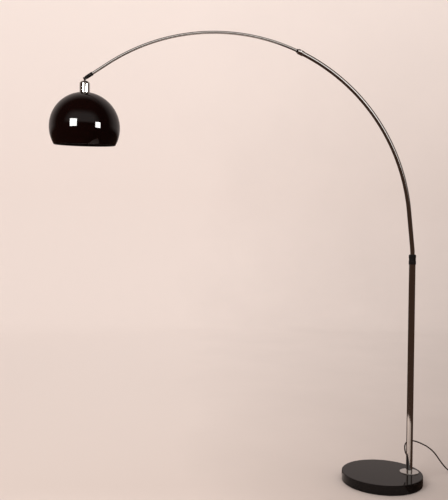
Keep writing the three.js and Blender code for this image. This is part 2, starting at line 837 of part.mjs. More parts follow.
// The lead in the pole runs up from the cord's grommet to the foot of the mast's own lead.
function makePoleWiring() {
  const group = new THREE.Group();
  group.position.x = poleOffset;
  const innerFace = poleBore - 1;
  const straightStart = cordExitHeight + 24;
  const leadTop = mastBottom + leadSetback - 2 * fitGap;
  const bend = [
    [0, innerFace - 2 * fitGap, cordExitHeight],
    [0, innerFace - 4, cordExitHeight + 0.4],
    [-0.7, 3, cordExitHeight + 5],
    [-1.8, 0.8, cordExitHeight + 12],
    [-leadOffset, 0, straightStart],
  ].map((place) => new THREE.Vector3(...place));
  const stations = joined(
    smoothStations(bend, 4),
    lineStations(bend[bend.length - 1], new THREE.Vector3(-leadOffset, 0, leadTop)),
  );
  piece("pole_lead", tubeAlong(stations, leadDiameter / 2, 0, 8), "lead", group);

  const flangeFace = poleRadius + fitGap;
  const reliefEnd = flangeFace + exitReliefLength;
  const grommet = turned([
    [0, innerFace],
    [cordRadius + 1.2, innerFace],
    [cordRadius + 1.2, flangeFace],
    [cordRadius + 4, flangeFace],
    [cordRadius + 4, flangeFace + 2],
    [cordRadius + 2.6, flangeFace + 3],
    [cordRadius + 0.8, reliefEnd],
    [0, reliefEnd],
  ], 20).rotateX(-Math.PI / 2);
  const mesh = piece("cord_grommet", grommet, "nylon", group);
  mesh.position.z = cordExitHeight;
  return group;
}

// A tapered cord relief along +X, from its wide end at the origin.
function reliefShape() {
  return turned([
    [0, 0],
    [cordRadius + 2.8, 0],
    [cordRadius + 2.8, 2],
    [cordRadius + 0.9, reliefLength],
    [0, reliefLength],
  ], 16).rotateY(Math.PI / 2);
}

function stadium(length, width, inset) {
  const round = width / 2 - inset;
  const middle = length / 2 - width / 2;
  const outline = new THREE.Shape();
  outline.absarc(middle, 0, round, -Math.PI / 2, Math.PI / 2);
  outline.absarc(-middle, 0, round, Math.PI / 2, (3 * Math.PI) / 2);
  outline.closePath();
  return outline;
}

function slab(outline, bottom, top, curveSegments = 8) {
  return new THREE.ExtrudeGeometry(outline, { depth: top - bottom, bevelEnabled: false, curveSegments })
    .translate(0, 0, bottom);
}

function onFloor(place, heading) {
  const group = new THREE.Group();
  group.position.copy(place);
  group.rotation.z = heading * degrees;
  return group;
}

function makeFootSwitch() {
  const group = onFloor(switchPlace, switchHeading);
  const topEdge = 2;
  const lower = slab(stadium(switchLength, switchWidth, 0), 0, switchBaseHeight);
  const endBores = [-1, 1].map((side) =>
    crossRod(cordRadius + 0.6, 0, 8, 12).rotateZ(-Math.PI / 2).translate(0, 0, switchCordHeight)
      .rotateZ(side < 0 ? Math.PI : 0).translate(side * (switchLength / 2 - 7.5), 0, 0));
  piece("switch_base", cut(lower, ...endBores), "blackPlastic", group);

  const coverBottom = switchBaseHeight + fitGap;
  const room = switchHeight - switchWall;
  const cover = join(
    slab(stadium(switchLength, switchWidth, 0), coverBottom, switchHeight - topEdge),
    slab(stadium(switchLength, switchWidth, topEdge / 2), coverBottom + 1, switchHeight),
  );
  const hollow = slab(stadium(switchLength, switchWidth, switchWall), coverBottom - 1, room);
  const buttonRadius = buttonDiameter / 2;
  const buttonHole = rod(buttonRadius + slideGap, room - 1, switchHeight + 1);
  piece("switch_cover", cut(cover, hollow, buttonHole, ...endBores), "blackPlastic", group);

  const flangeTop = room - fitGap;
  const button = turned([
    [0, flangeTop - 2],
    [buttonRadius + 2, flangeTop - 2],
    [buttonRadius + 2, flangeTop],
    [buttonRadius, flangeTop],
    ...corner(buttonRadius - 1.5, switchHeight + buttonProud - 1.5, 1.5, 0, 90, 3),
    [0, switchHeight + buttonProud],
  ]);
  piece("switch_button", button, "blackPlastic", group);

  const blockTop = flangeTop - 2 - buttonTravel - 1;
  const block = new THREE.BoxGeometry(20, 16, blockTop - coverBottom)
    .translate(0, 0, (blockTop + coverBottom) / 2);
  piece("switch_contact_block", block, "ceramic", group);

  for (const [name, side] of [["switch_relief_lamp", -1], ["switch_relief_mains", 1]]) {
    const relief = piece(name, reliefShape(), "nylon", group);
    relief.position.set(side * (switchLength / 2 + fitGap), 0, switchCordHeight);
    relief.rotation.z = side < 0 ? Math.PI : 0;
  }
  return group;
}

function makeCoil() {
  const group = onFloor(coilPlace, 0);
  const width = coilTurnsAcross * cordDiameter;
  const height = coilLayers * cordDiameter;
  const middle = coilMeanDiameter / 2;
  const bottom = tieThickness + fitGap;
  const coil = ring(middle - width / 2, middle + width / 2, bottom, bottom + height, 40);
  piece("cord_coil", coil, "cord", group);

  const tieSpace = fitGap + 0.3; // the flats of the ring stand closer than its corners
  const halfWidth = width / 2 + tieSpace;
  const outline = new THREE.Shape();
  outline.moveTo(-halfWidth - tieThickness, 0);
  outline.lineTo(halfWidth + tieThickness, 0);
  outline.lineTo(halfWidth + tieThickness, bottom + height + fitGap + tieThickness);
  outline.lineTo(-halfWidth - tieThickness, bottom + height + fitGap + tieThickness);
  outline.closePath();
  const inside = new THREE.Path();
  inside.moveTo(-halfWidth, tieThickness);
  inside.lineTo(-halfWidth, bottom + height + fitGap);
  inside.lineTo(halfWidth, bottom + height + fitGap);
  inside.lineTo(halfWidth, tieThickness);
  inside.closePath();
  outline.holes.push(inside);
  const tie = new THREE.ExtrudeGeometry(outline, { depth: tieWidth, bevelEnabled: false })
    .translate(0, 0, -tieWidth / 2)
    .rotateX(Math.PI / 2);
  const tieAngle = 200 * degrees;
  const mesh = piece("cord_tie", tie, "nylon", group);
  mesh.position.set(middle * Math.cos(tieAngle), middle * Math.sin(tieAngle), 0);
  mesh.rotation.z = tieAngle;
  return group;
}

function makePlug() {
  const group = onFloor(plugPlace, plugHeading);
  const middle = plugHeight / 2;
  const outline = new THREE.Shape();
  const back = plugWidth / 2 - 7;
  outline.moveTo(0, -back);
  outline.lineTo(plugLength * 0.45, -plugWidth / 2);
  outline.lineTo(plugLength, -plugWidth / 2 + 1);
  outline.lineTo(plugLength, plugWidth / 2 - 1);
  outline.lineTo(plugLength * 0.45, plugWidth / 2);
  outline.lineTo(0, back);
  outline.closePath();
  const body = join(
    slab(outline, 1.5, plugHeight - 1.5),
    new THREE.BoxGeometry(plugLength - 4, plugWidth - 12, plugHeight).translate(plugLength / 2, 0, middle),
  );
  const pins = [["plug_pin_left", 1], ["plug_pin_right", -1]];
  const seatDepth = 6;
  const seats = pins.map(([, side]) =>
    rod(pinDiameter / 2 + fitGap, plugLength - seatDepth - fitGap, plugLength + 1, 12)
      .rotateY(Math.PI / 2).translate(0, (side * pinSpacing) / 2, middle));
  piece("plug_body", cut(body, ...seats), "blackPlastic", group);

  for (const [name, side] of pins) {
    const pin = turned([
      [0, plugLength - seatDepth],
      [pinDiameter / 2, plugLength - seatDepth],
      ...corner(pinDiameter / 2 - 1, plugLength + pinLength - 1, 1, 0, 90, 2),
      [0, plugLength + pinLength],
    ], 12).rotateY(Math.PI / 2);
    const mesh = piece(name, pin, "brass", group);
    mesh.position.set(0, (side * pinSpacing) / 2, middle);
  }

  const relief = piece("plug_relief", reliefShape(), "nylon", group);
  relief.position.set(-fitGap, 0, middle);
  relief.rotation.z = Math.PI;
  return group;
}

// A free stretch of cord: straight out of one end, through its route, and straight into the other.
function looseCord(name, start, startHeading, route, end, endHeading, group) {
  const points = [start, start.clone().addScaledVector(startHeading, cordRadius)]
    .concat(route.map((place) => new THREE.Vector3(...place)))
    .concat([end.clone().addScaledVector(endHeading, -cordRadius), end]);
  piece(name, tubeAlong(smoothStations(points, 2.2 * cordDiameter), cordRadius, 0, 10), "cord", group);
}

function headingVector(angle) {
  return new THREE.Vector3(Math.cos(angle * degrees), Math.sin(angle * degrees), 0);
}

function makeLooseCords() {
  const group = new THREE.Group();
  const outward = new THREE.Vector3(0, 1, 0);
  const exitFace = poleRadius + 2 * fitGap + exitReliefLength;
  const exit = new THREE.Vector3(poleOffset, exitFace, cordExitHeight);

  const along = headingVector(switchHeading);
  const reliefReach = switchLength / 2 + reliefLength + 2 * fitGap;
  const switchMiddle = switchPlace.clone().setZ(switchCordHeight);
  const switchIn = switchMiddle.clone().addScaledVector(along, -reliefReach);
  const switchOut = switchMiddle.clone().addScaledVector(along, reliefReach);
  looseCord("mains_cord_lamp", exit, outward, lampCordRoute, switchIn, along, group);

  const coilOuter = coilMeanDiameter / 2 + (coilTurnsAcross * cordDiameter) / 2;
  const lane = coilOuter - cordRadius; // the outer turn's centre line
  const standOff = Math.sqrt((coilOuter + 2 * fitGap) ** 2 - (lane - cordRadius) ** 2);
  const layerHeight = tieThickness + fitGap + cordRadius;
  const coilIn = coilPlace.clone().add(new THREE.Vector3(lane, -standOff, layerHeight));
  looseCord("mains_cord_middle", switchOut, along, middleCordRoute, coilIn, outward, group);

  const topLayer = layerHeight + (coilLayers - 1) * cordDiameter;
  const coilOut = coilPlace.clone().add(new THREE.Vector3(lane, standOff, topLayer));
  const intoPlug = headingVector(plugHeading);
  const plugIn = plugPlace.clone().setZ(plugHeight / 2)
    .addScaledVector(intoPlug, -reliefLength - 2 * fitGap);
  looseCord("mains_cord_tail", coilOut, outward, tailCordRoute, plugIn, intoPlug, group);
  return group;
}

const lamp = new THREE.Group();
lamp.add(
  makeBase(),
  makePole(),
  makeCollar(),
  makeGuideBush(),
  makeMast(),
  makeClampScrew(),
  makeBoom(),
  makeShade(),
  makePoleWiring(),
  makeFootSwitch(),
  makeCoil(),
  makePlug(),
  makeLooseCords(),
);

export default lamp;
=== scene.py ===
# Arc floor lamp: smooth surfaces, finishes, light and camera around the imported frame.
# Metres, +Z up. The lamp stands on the origin and its arc reaches towards -X.
import json
import math

import bmesh
import bpy
import numpy as np
from mathutils import Matrix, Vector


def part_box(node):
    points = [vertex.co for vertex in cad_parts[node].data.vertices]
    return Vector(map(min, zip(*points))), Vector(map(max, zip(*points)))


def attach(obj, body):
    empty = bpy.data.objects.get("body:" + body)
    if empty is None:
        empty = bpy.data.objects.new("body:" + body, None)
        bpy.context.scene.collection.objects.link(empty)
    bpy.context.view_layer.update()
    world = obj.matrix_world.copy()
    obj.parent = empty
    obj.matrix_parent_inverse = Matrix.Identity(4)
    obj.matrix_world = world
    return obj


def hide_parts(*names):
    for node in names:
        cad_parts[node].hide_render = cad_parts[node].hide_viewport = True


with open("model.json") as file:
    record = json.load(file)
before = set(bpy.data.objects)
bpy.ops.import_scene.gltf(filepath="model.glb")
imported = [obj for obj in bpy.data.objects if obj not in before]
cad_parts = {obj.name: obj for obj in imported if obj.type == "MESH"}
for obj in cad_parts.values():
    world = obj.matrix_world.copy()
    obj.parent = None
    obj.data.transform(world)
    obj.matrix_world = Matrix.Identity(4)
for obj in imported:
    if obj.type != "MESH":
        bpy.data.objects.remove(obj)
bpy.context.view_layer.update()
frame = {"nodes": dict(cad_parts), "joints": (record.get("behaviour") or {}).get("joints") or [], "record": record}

mm = 0.001
record = frame["record"]
bodyOfNode = {node: body for body, nodes in record["behaviour"]["bodies"].items() for node in nodes}
slotOfNode = {part["node"]: part["material_slot"] for part in record["subparts"]}
jointPlace = {joint["name"]: np.array(joint["pos_m"]) for joint in frame["joints"] if joint.get("pos_m")}
jointAxis = {joint["name"]: np.array(joint["axis"], float) for joint in frame["joints"]}


def middleOf(node):
    low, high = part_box(node)
    return (np.array(low) + np.array(high)) / 2


def sizeOf(node):
    low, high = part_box(node)
    return np.array(high) - np.array(low)


def unit(vector):
    return np.array(vector, float) / np.linalg.norm(vector)


def heading(angle):
    return np.array([math.cos(math.radians(angle)), math.sin(math.radians(angle)), 0.0])


# Camera
cameraValues = {
    "place": (-0.8103, -2.9482, 1.0391),
    "yaw": 1.918,  # degrees to the right of +Y
    "pitch": -0.470,
    "roll": 0.751,
    "lens": 48.54,  # for a 36 mm sensor along the picture's long side
}


def makeCamera(values):
    camera = bpy.data.objects.new("camera", bpy.data.cameras.new("camera"))
    bpy.context.scene.collection.objects.link(camera)
    camera.data.lens = values["lens"]
    camera.data.clip_start, camera.data.clip_end = 0.05, 60
    turn = (
        Matrix.Rotation(-math.radians(values["yaw"]), 4, "Z")
        @ Matrix.Rotation(math.radians(90 + values["pitch"]), 4, "X")
        @ Matrix.Rotation(math.radians(values["roll"]), 4, "Z")
    )
    camera.matrix_world = Matrix.Translation(values["place"]) @ turn
    bpy.context.scene.camera = camera


makeCamera(cameraValues)
print("camera done")


# Surfaces. Each grid holds points in rows and columns: rows run along the shape, columns go round it.
# wraps joins the last row to the first, as on a tube with a wall. Rows that shrink to a point close a shape.
def skin(name, *grids):
    vertices, faces, marks = [], [], []
    start = 0
    for points, wraps in grids:
        rows, columns = points.shape[:2]
        row, column = np.meshgrid(np.arange(rows if wraps else rows - 1), np.arange(columns), indexing="ij")
        corners = [(row, column), (row, column + 1), (row + 1, column + 1), (row + 1, column)]
        turned = [start + r % rows * columns + c % columns for r, c in corners]
        faces.append(np.stack(turned, -1).reshape(-1, 4))
        steps = np.linalg.norm(np.diff(points[:, 0], axis=0), axis=-1)
        along = np.concatenate([[0], np.cumsum(steps), [steps.sum()]])
        marks.append(np.stack([np.stack([c / columns, along[r]], -1) for r, c in corners], 2).reshape(-1, 2))
        vertices.append(points.reshape(-1, 3))
        start += rows * columns
    mesh = bpy.data.meshes.new(name)
    mesh.from_pydata(np.concatenate(vertices), [], np.concatenate(faces).tolist())
    mesh.uv_layers.new(name="along").data.foreach_set("uv", np.concatenate(marks).astype(np.float32).ravel())
    work = bmesh.new()
    work.from_mesh(mesh)
    bmesh.ops.remove_doubles(work, verts=work.verts, dist=2e-6)
    bmesh.ops.recalc_face_normals(work, faces=work.faces)
    work.to_mesh(mesh)
    work.free()
    mesh.polygons.foreach_set("use_smooth", np.ones(len(mesh.polygons), bool))
    mesh.set_sharp_from_angle(angle=math.radians(42))
    return mesh


# Turns a mesh into a shown piece that stands for one or more CAD nodes, on the body of the first.
def addPiece(name, mesh, material, *nodes):
    made = bpy.data.objects.new(name, mesh)
    bpy.context.scene.collection.objects.link(made)
    made.data.materials.append(material)
    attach(made, bodyOfNode[nodes[0]])
    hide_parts(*nodes)
    return made


# An outline whose corners are (across, along, radius). Each radius becomes an arc, with a guard point just
# before and after it so that the flats beside it keep their own shading.
def roundedOutline(corners, closed=False, steps=5, guard=0.25 * mm):
    corners = [(corner + (0,))[:3] for corner in corners]
    outline = []
    count = len(corners)
    for index, (across, along, radius) in enumerate(corners):
        here = np.array([across, along], float)
        if radius == 0 or (not closed and index in (0, count - 1)):
            outline.append(here)
            continue
        before = np.array(corners[index - 1][:2]) - here
        after = np.array(corners[(index + 1) % count][:2]) - here
        toBefore, toAfter = unit(before), unit(after)
        half = math.acos(np.clip(toBefore @ toAfter, -1, 1)) / 2
        reach = radius / math.tan(half)
        middle = here + unit(toBefore + toAfter) * radius / math.sin(half)
        first, last = here + toBefore * reach - middle, here + toAfter * reach - middle
        sweep = math.pi - 2 * half
        shares = np.linspace(0, 1, steps + 1)[:, None]
        arc = (np.sin((1 - shares) * sweep) * first + np.sin(shares * sweep) * last) / math.sin(sweep)
        outline.append(here + toBefore * min(reach + guard, np.linalg.norm(before) * 0.49))
        outline.extend(middle + arc)
        outline.append(here + toAfter * min(reach + guard, np.linalg.norm(after) * 0.49))
    return np.array(outline)


# The same, for corners in millimetres.
def millimetreOutline(corners, closed=False, steps=5):
    return roundedOutline([tuple(value * mm for value in corner) for corner in corners], closed, steps)


# A profile of (radius, height) spun about Z: point = (radius cos a, radius sin a, height).
# middles shifts each profile point's circle along X, for a hole that isn't in the middle. Ridges add a
# wave of that many crests round the circle, as deep as each profile point's own depth.
def spun(profile, sides=96, middles=0.0, ridges=0, depths=0.0):
    angle = np.arange(sides) * 2 * np.pi / sides
    wave = np.reshape(depths, (-1, 1)) * np.cos(ridges * angle)
    radius, height = profile[:, :1] + wave, profile[:, 1:2]
    shift = np.reshape(middles, (-1, 1))
    return np.stack([shift + radius * np.cos(angle), radius * np.sin(angle), height + 0 * radius], -1)


# Carries points to a place: their Z goes along axis and their X along side.
def carried(points, origin, axis=(0, 0, 1), side=(1, 0, 0)):
    axis, side = unit(axis), unit(side)
    return np.asarray(origin) + points @ np.stack([side, np.cross(axis, side), axis])


# A tube along a path: point = path + radius (cos a * across + sin a * over), on the path's own two normals.
def along(path, radius, across, over, sides=48):
    angle = np.arange(sides)[:, None] * 2 * np.pi / sides
    ring = np.cos(angle)[None] * across[:, None] + np.sin(angle)[None] * over[:, None]
    return path[:, None] + np.reshape(radius, (-1, 1, 1)) * ring


# A tube with a wall, its ends rounded over: out along the outside, and back along the bore.
def hollowTube(path, across, over, outer, bore, sides):
    wall = outer - bore
    lip = np.array([0.25, 0.45, 0.5, 0.75, 1.0]) * wall
    turn = np.concatenate([[outer - wall * 0.1], outer - lip, [bore]])
    ends, stations = len(turn), np.arange(len(path))
    order = np.concatenate([stations, np.full(ends, len(path) - 1), stations[::-1], np.zeros(ends, int)])
    radius = np.concatenate([np.full(len(path), outer), turn, np.full(len(path), bore), turn[::-1]])
    return along(path[order], radius, across[order], over[order], sides)


# A path through given points: a centripetal Catmull-Rom curve, evenly stepped.
def smoothPath(points, spacing):
    points = np.array(points, float)
    padded = np.vstack([2 * points[0] - points[1], points, 2 * points[-1] - points[-2]])
    chord = np.diff(padded, axis=0)
    step = np.sqrt(np.linalg.norm(chord, axis=1))[:, None]
    slope = chord / step
    tangent = (slope[:-1] * step[1:] + slope[1:] * step[:-1]) / (step[:-1] + step[1:])
    share = np.linspace(0, 1, 40, endpoint=False)[None, :, None]
    width = step[1:-1, None]
    curve = (
        (2 * share**3 - 3 * share**2 + 1) * points[:-1, None]
        + (share**3 - 2 * share**2 + share) * width * tangent[:-1, None]
        + (3 * share**2 - 2 * share**3) * points[1:, None]
        + (share**3 - share**2) * width * tangent[1:, None]
    )
    return evenly(np.vstack([curve.reshape(-1, 3), points[-1]]), spacing)


def evenly(path, spacing):
    path = path[np.concatenate([[True], np.linalg.norm(np.diff(path, axis=0), axis=1) > 1e-7])]
    reach = np.concatenate([[0], np.cumsum(np.linalg.norm(np.diff(path, axis=0), axis=1))])
    wanted = np.linspace(0, reach[-1], max(int(round(reach[-1] / spacing)), 1) + 1)
    return np.stack([np.interp(wanted, reach, path[:, axis]) for axis in range(3)], -1)


# The two normals of a path, turned as little as possible from one station to the next.
def pathNormals(path, firstAcross):
    tangent = np.gradient(path, axis=0)
    tangent /= np.linalg.norm(tangent, axis=1)[:, None]
    across = [unit(firstAcross - tangent[0] * (tangent[0] @ firstAcross))]
    for direction in tangent[1:]:
        across.append(unit(across[-1] - direction * (across[-1] @ direction)))
    across = np.array(across)
    return across, np.cross(tangent, across)


# Finishes. Every material varies over the surface through noise on Object coordinates.
def addNode(tree, kind, inputs=None, **settings):
    made = tree.nodes.new(kind)
    for key, value in settings.items():
        setattr(made, key, value)
    for key, value in (inputs or {}).items():
        if isinstance(value, bpy.types.NodeSocket):
            tree.links.new(value, made.inputs[key])
        else:
            made.inputs[key].default_value = value
    return made


def newFinish(name, **fixed):
    material = bpy.data.materials.new(name)
    material.use_nodes = True
    tree = material.node_tree
    shader = next(node for node in tree.nodes if node.type == "BSDF_PRINCIPLED")
    for key, value in fixed.items():
        shader.inputs[key].default_value = value
    place = addNode(tree, "ShaderNodeTexCoord").outputs["Object"]
    return material, tree, shader, place


def noise(tree, place, scale, detail=3.0, stretch=None):
    if stretch:
        place = addNode(tree, "ShaderNodeMapping", {"Vector": place, "Scale": stretch}).outputs[0]
    settings = {"Vector": place, "Scale": scale, "Detail": detail, "Roughness": 0.55}
    return addNode(tree, "ShaderNodeTexNoise", settings).outputs[0]


def ranged(tree, value, fromLow, fromHigh, toLow, toHigh):
    limits = {"Value": value, 1: fromLow, 2: fromHigh, 3: toLow, 4: toHigh}
    return addNode(tree, "ShaderNodeMapRange", limits).outputs[0]


def blended(tree, share, colourA, colourB):
    made = addNode(tree, "ShaderNodeMix", data_type="RGBA")
    for index, value in ((0, share), (6, colourA), (7, colourB)):
        if isinstance(value, bpy.types.NodeSocket):
            tree.links.new(value, made.inputs[index])
        else:
            made.inputs[index].default_value = (*value, 1) if isinstance(value, tuple) else value
    return made.outputs[2]


def bumped(tree, shader, height, depth):
    made = addNode(tree, "ShaderNodeBump", {"Height": height, "Distance": depth, "Strength": 1.0})
    tree.links.new(made.outputs[0], shader.inputs["Normal"])


def feed(tree, shader, **values):
    for key, value in values.items():
        tree.links.new(value, shader.inputs[key.replace("_", " ")])


def polishedChrome():
    # colour and roughness drift slowly over the plate, with faint wipe marks
    material, tree, shader, place = newFinish("polishedChrome", Metallic=1.0)
    drift = noise(tree, place, 9.0)
    wipe = noise(tree, place, 160.0, 4.0, (1.0, 1.0, 0.08))
    feed(
        tree, shader,
        Base_Color=blended(
            tree, ranged(tree, drift, 0.3, 0.7, 0.0, 1.0), (0.66, 0.64, 0.62), (0.72, 0.70, 0.675)
        ),
        Roughness=ranged(tree, wipe, 0.35, 0.75, 0.045, 0.11),
    )
    bumped(tree, shader, noise(tree, place, 60.0, 2.0), 0.00002)
    return material


def plainSteel():
    # fine turning lines round the piece and a dull zinc mottle
    material, tree, shader, place = newFinish("plainSteel", Metallic=1.0)
    mottle = noise(tree, place, 120.0)
    lines = noise(tree, place, 900.0, 2.0, (0.2, 0.2, 3.0))
    feed(
        tree, shader,
        Base_Color=blended(tree, mottle, (0.46, 0.45, 0.43), (0.6, 0.59, 0.57)),
        Roughness=ranged(tree, lines, 0.3, 0.7, 0.24, 0.42),
    )
    bumped(tree, shader, lines, 0.00003)
    return material


def polishedStone(edgeRadius):
    # near-black ground, tiny grey grains from cells, a few paler flecks, and a slightly duller arris
    material, tree, shader, place = newFinish("polishedStone", **{"Specular IOR Level": 0.13, "IOR": 1.52})
    cells = addNode(tree, "ShaderNodeTexVoronoi", {"Vector": place, "Scale": 520.0})
    grain = ranged(tree, cells.outputs["Distance"], 0.08, 0.32, 1.0, 0.0)
    cloud = noise(tree, place, 26.0, 5.0)
    fleck = ranged(tree, noise(tree, place, 340.0, 2.0), 0.68, 0.78, 0.0, 1.0)
    ground = blended(tree, cloud, (0.0040, 0.0030, 0.0028), (0.0085, 0.0065, 0.0060))
    faint = addNode(tree, "ShaderNodeMath", {0: grain, 1: 0.35}, operation="MULTIPLY").outputs[0]
    grained = blended(tree, faint, ground, (0.022, 0.020, 0.020))
    split = addNode(tree, "ShaderNodeSeparateXYZ", {"Vector": place})
    flat = addNode(tree, "ShaderNodeCombineXYZ", {"X": split.outputs[0], "Y": split.outputs[1]})
    reach = addNode(tree, "ShaderNodeVectorMath", {0: flat.outputs[0]}, operation="LENGTH").outputs["Value"]
    edge = ranged(tree, reach, edgeRadius - 0.004, edgeRadius - 0.0005, 0.0, 0.05)
    polish = ranged(tree, noise(tree, place, 70.0, 4.0), 0.3, 0.75, 0.035, 0.075)
    feed(
        tree, shader,
        Base_Color=blended(tree, fleck, grained, (0.06, 0.056, 0.054)),
        Roughness=addNode(tree, "ShaderNodeMath", {0: polish, 1: edge}, operation="ADD").outputs[0],
    )
    bumped(tree, shader, cells.outputs["Distance"], 0.000008)
    return material


def shadeGloss():
    # deep black with a trace of red, very smooth, with the faint ripple of a moulded skin
    material, tree, shader, place = newFinish("shadeGloss", **{"IOR": 1.5, "Specular IOR Level": 0.33})
    depth = noise(tree, place, 5.0)
    ripple = noise(tree, place, 22.0, 1.0)
    dust = noise(tree, place, 900.0, 2.0)
    feed(
        tree, shader,
        Base_Color=blended(tree, depth, (0.0010, 0.0005, 0.0005), (0.0048, 0.0011, 0.0009)),
        Roughness=ranged(tree, dust, 0.55, 0.8, 0.025, 0.08),
    )
    bumped(tree, shader, ripple, 0.00006)
    return material


def shadeLining():
    # satin inside of the shade, sprayed, with a fine grain
    material, tree, shader, place = newFinish("shadeLining", **{"IOR": 1.48})
    grain = noise(tree, place, 700.0, 3.0)
    feed(
        tree, shader,
        Base_Color=blended(tree, noise(tree, place, 12.0), (0.016, 0.013, 0.012), (0.026, 0.021, 0.02)),
        Roughness=ranged(tree, grain, 0.3, 0.7, 0.3, 0.45),
    )
    bumped(tree, shader, grain, 0.00005)
    return material


def mouldedPlastic(name, dark, light, roughLow, roughHigh):
    # an even moulded colour, a fine spark-eroded grain and a slightly polished wear pattern
    material, tree, shader, place = newFinish(name, **{"IOR": 1.46, "Specular IOR Level": 0.2})
    grain = noise(tree, place, 1400.0, 2.0)
    wear = noise(tree, place, 35.0, 4.0)
    feed(
        tree, shader,
        Base_Color=blended(tree, wear, dark, light),
        Roughness=ranged(tree, wear, 0.3, 0.7, roughLow, roughHigh),
    )
    bumped(tree, shader, grain, 0.00004)
    return material


def denseFelt():
    # short fibres: stretched noise both ways, a fuzzy sheen
    sheen = {"Sheen Weight": 0.5, "Sheen Roughness": 0.4}
    material, tree, shader, place = newFinish("denseFelt", Roughness=0.95, **sheen)
    fibreA = noise(tree, place, 800.0, 3.0, (1.0, 0.12, 1.0))
    fibreB = noise(tree, place, 800.0, 3.0, (0.12, 1.0, 1.0))
    fibres = addNode(tree, "ShaderNodeMath", {0: fibreA, 1: fibreB}, operation="MAXIMUM").outputs[0]
    feed(tree, shader, Base_Color=blended(tree, fibres, (0.008, 0.008, 0.008), (0.035, 0.034, 0.033)))
    bumped(tree, shader, fibres, 0.0004)
    return material


def plainBrass():
    material, tree, shader, place = newFinish("plainBrass", Metallic=1.0)
    tarnish = noise(tree, place, 90.0, 4.0)
    feed(
        tree, shader,
        Base_Color=blended(tree, tarnish, (0.55, 0.42, 0.2), (0.74, 0.58, 0.3)),
        Roughness=ranged(tree, tarnish, 0.3, 0.7, 0.38, 0.22),
    )
    bumped(tree, shader, noise(tree, place, 1200.0, 2.0), 0.00002)
    return material


def bareCeramic():
    material, tree, shader, place = newFinish("bareCeramic", **{"IOR": 1.5})
    pores = noise(tree, place, 1100.0, 4.0)
    feed(
        tree, shader,
        Base_Color=blended(tree, noise(tree, place, 60.0), (0.72, 0.7, 0.65), (0.82, 0.8, 0.76)),
        Roughness=ranged(tree, pores, 0.3, 0.7, 0.4, 0.6),
    )
    bumped(tree, shader, pores, 0.00008)
    return material


def rolledAluminium():
    material, tree, shader, place = newFinish("rolledAluminium", Metallic=1.0)
    drawn = noise(tree, place, 500.0, 2.0, (0.3, 0.3, 2.0))
    feed(
        tree, shader,
        Base_Color=blended(tree, drawn, (0.68, 0.675, 0.66), (0.8, 0.79, 0.775)),
        Roughness=ranged(tree, drawn, 0.3, 0.7, 0.22, 0.34),
    )
    bumped(tree, shader, drawn, 0.00003)
    return material


def frostedGlass():
    # milky glass, an uneven inner frost and a clear outer gloss
    milk = {"Subsurface Weight": 0.3, "Subsurface Scale": 0.01}
    coat = {"Coat Weight": 0.6, "Coat Roughness": 0.08}
    material, tree, shader, place = newFinish("frostedGlass", IOR=1.5, **milk, **coat)
    frost = noise(tree, place, 45.0, 4.0)
    feed(
        tree, shader,
        Base_Color=blended(tree, frost, (0.8, 0.79, 0.76), (0.9, 0.89, 0.86)),
        Roughness=ranged(tree, frost, 0.3, 0.7, 0.35, 0.5),
    )
    bumped(tree, shader, noise(tree, place, 900.0, 2.0), 0.00002)
    return material


def cordJacket():
    # dark brown-black jacket with fine lines from the extruder along its length, read from the cord's own map
    material, tree, shader, place = newFinish("cordJacket", **{"IOR": 1.47})
    ownMap = addNode(tree, "ShaderNodeUVMap", uv_map="along").outputs[0]
    lines = noise(tree, ownMap, 60.0, 3.0, (1.0, 0.3, 1.0))
    dull = noise(tree, place, 40.0, 4.0)
    feed(
        tree, shader,
        Base_Color=blended(tree, dull, (0.014, 0.009, 0.0075), (0.028, 0.019, 0.016)),
        Roughness=ranged(tree, dull, 0.3, 0.7, 0.34, 0.5),
    )
    bumped(tree, shader, lines, 0.00004)
    return material


chrome = polishedChrome()
steel = plainSteel()
stone = polishedStone(sizeOf("base_stone")[0] / 2)
gloss = shadeGloss()
lining = shadeLining()
blackPlastic = mouldedPlastic("satinBlackPlastic", (0.006, 0.0052, 0.005), (0.012, 0.0105, 0.010), 0.2, 0.3)
nylon = mouldedPlastic("mouldedNylon", (0.011, 0.011, 0.011), (0.024, 0.023, 0.023), 0.42, 0.58)
sleeving = mouldedPlastic("wireSleeving", (0.55, 0.53, 0.48), (0.68, 0.66, 0.6), 0.45, 0.6)
felt = denseFelt()
brass = plainBrass()
ceramic = bareCeramic()
aluminium = rolledAluminium()
glass = frostedGlass()
jacket = cordJacket()
finishOfSlot = {
    "polished_stone": stone, "felt": felt, "steel": steel, "chrome": chrome, "nylon": nylon,
    "black_plastic": blackPlastic, "wire_sleeve": sleeving, "shade_gloss": gloss, "ceramic": ceramic,
    "brass": brass, "bulb_metal": aluminium, "bulb_glass": glass, "cord": jacket,
}
print("finishes done")

# Turned pieces: corners are (radius, height, rounding) in millimetres, a loop unless open. place is where the
# piece's own Z axis starts, where it points, and where its X axis points.
def turnedPiece(name, corners, material, nodes, place, sides=96, closed=True, steps=5):
    outline = millimetreOutline(corners, closed, steps)
    return addPiece(name, skin(name, (carried(spun(outline, sides), *place), closed)), material, *nodes)


upright, sideways, beside = np.array([0.0, 0.0, 1.0]), np.array([1.0, 0.0, 0.0]), np.array([0.0, 1.0, 0.0])
poleX = jointPlace["mast_swivel"][0]
polePlace = (np.array([poleX, 0, 0]), upright, sideways)

# The base: circles whose middle moves from the pole's axis to the disc's own middle, so that one surface
# holds both the bolt hole and the rim.
baseValues = {
    "boltHole": 6.3 * mm,
    "counterbore": 18 * mm,
    "counterboreDepth": 11.2 * mm,
    "topEdge": 2.5,  # millimetres
    "bottomEdge": 1.0,
    "feltHole": 19 * mm,
    "rimBand": 12 * mm,  # the outermost ring of the disc, which keeps its middle
    "rings": 25,
    "sides": 256,
}


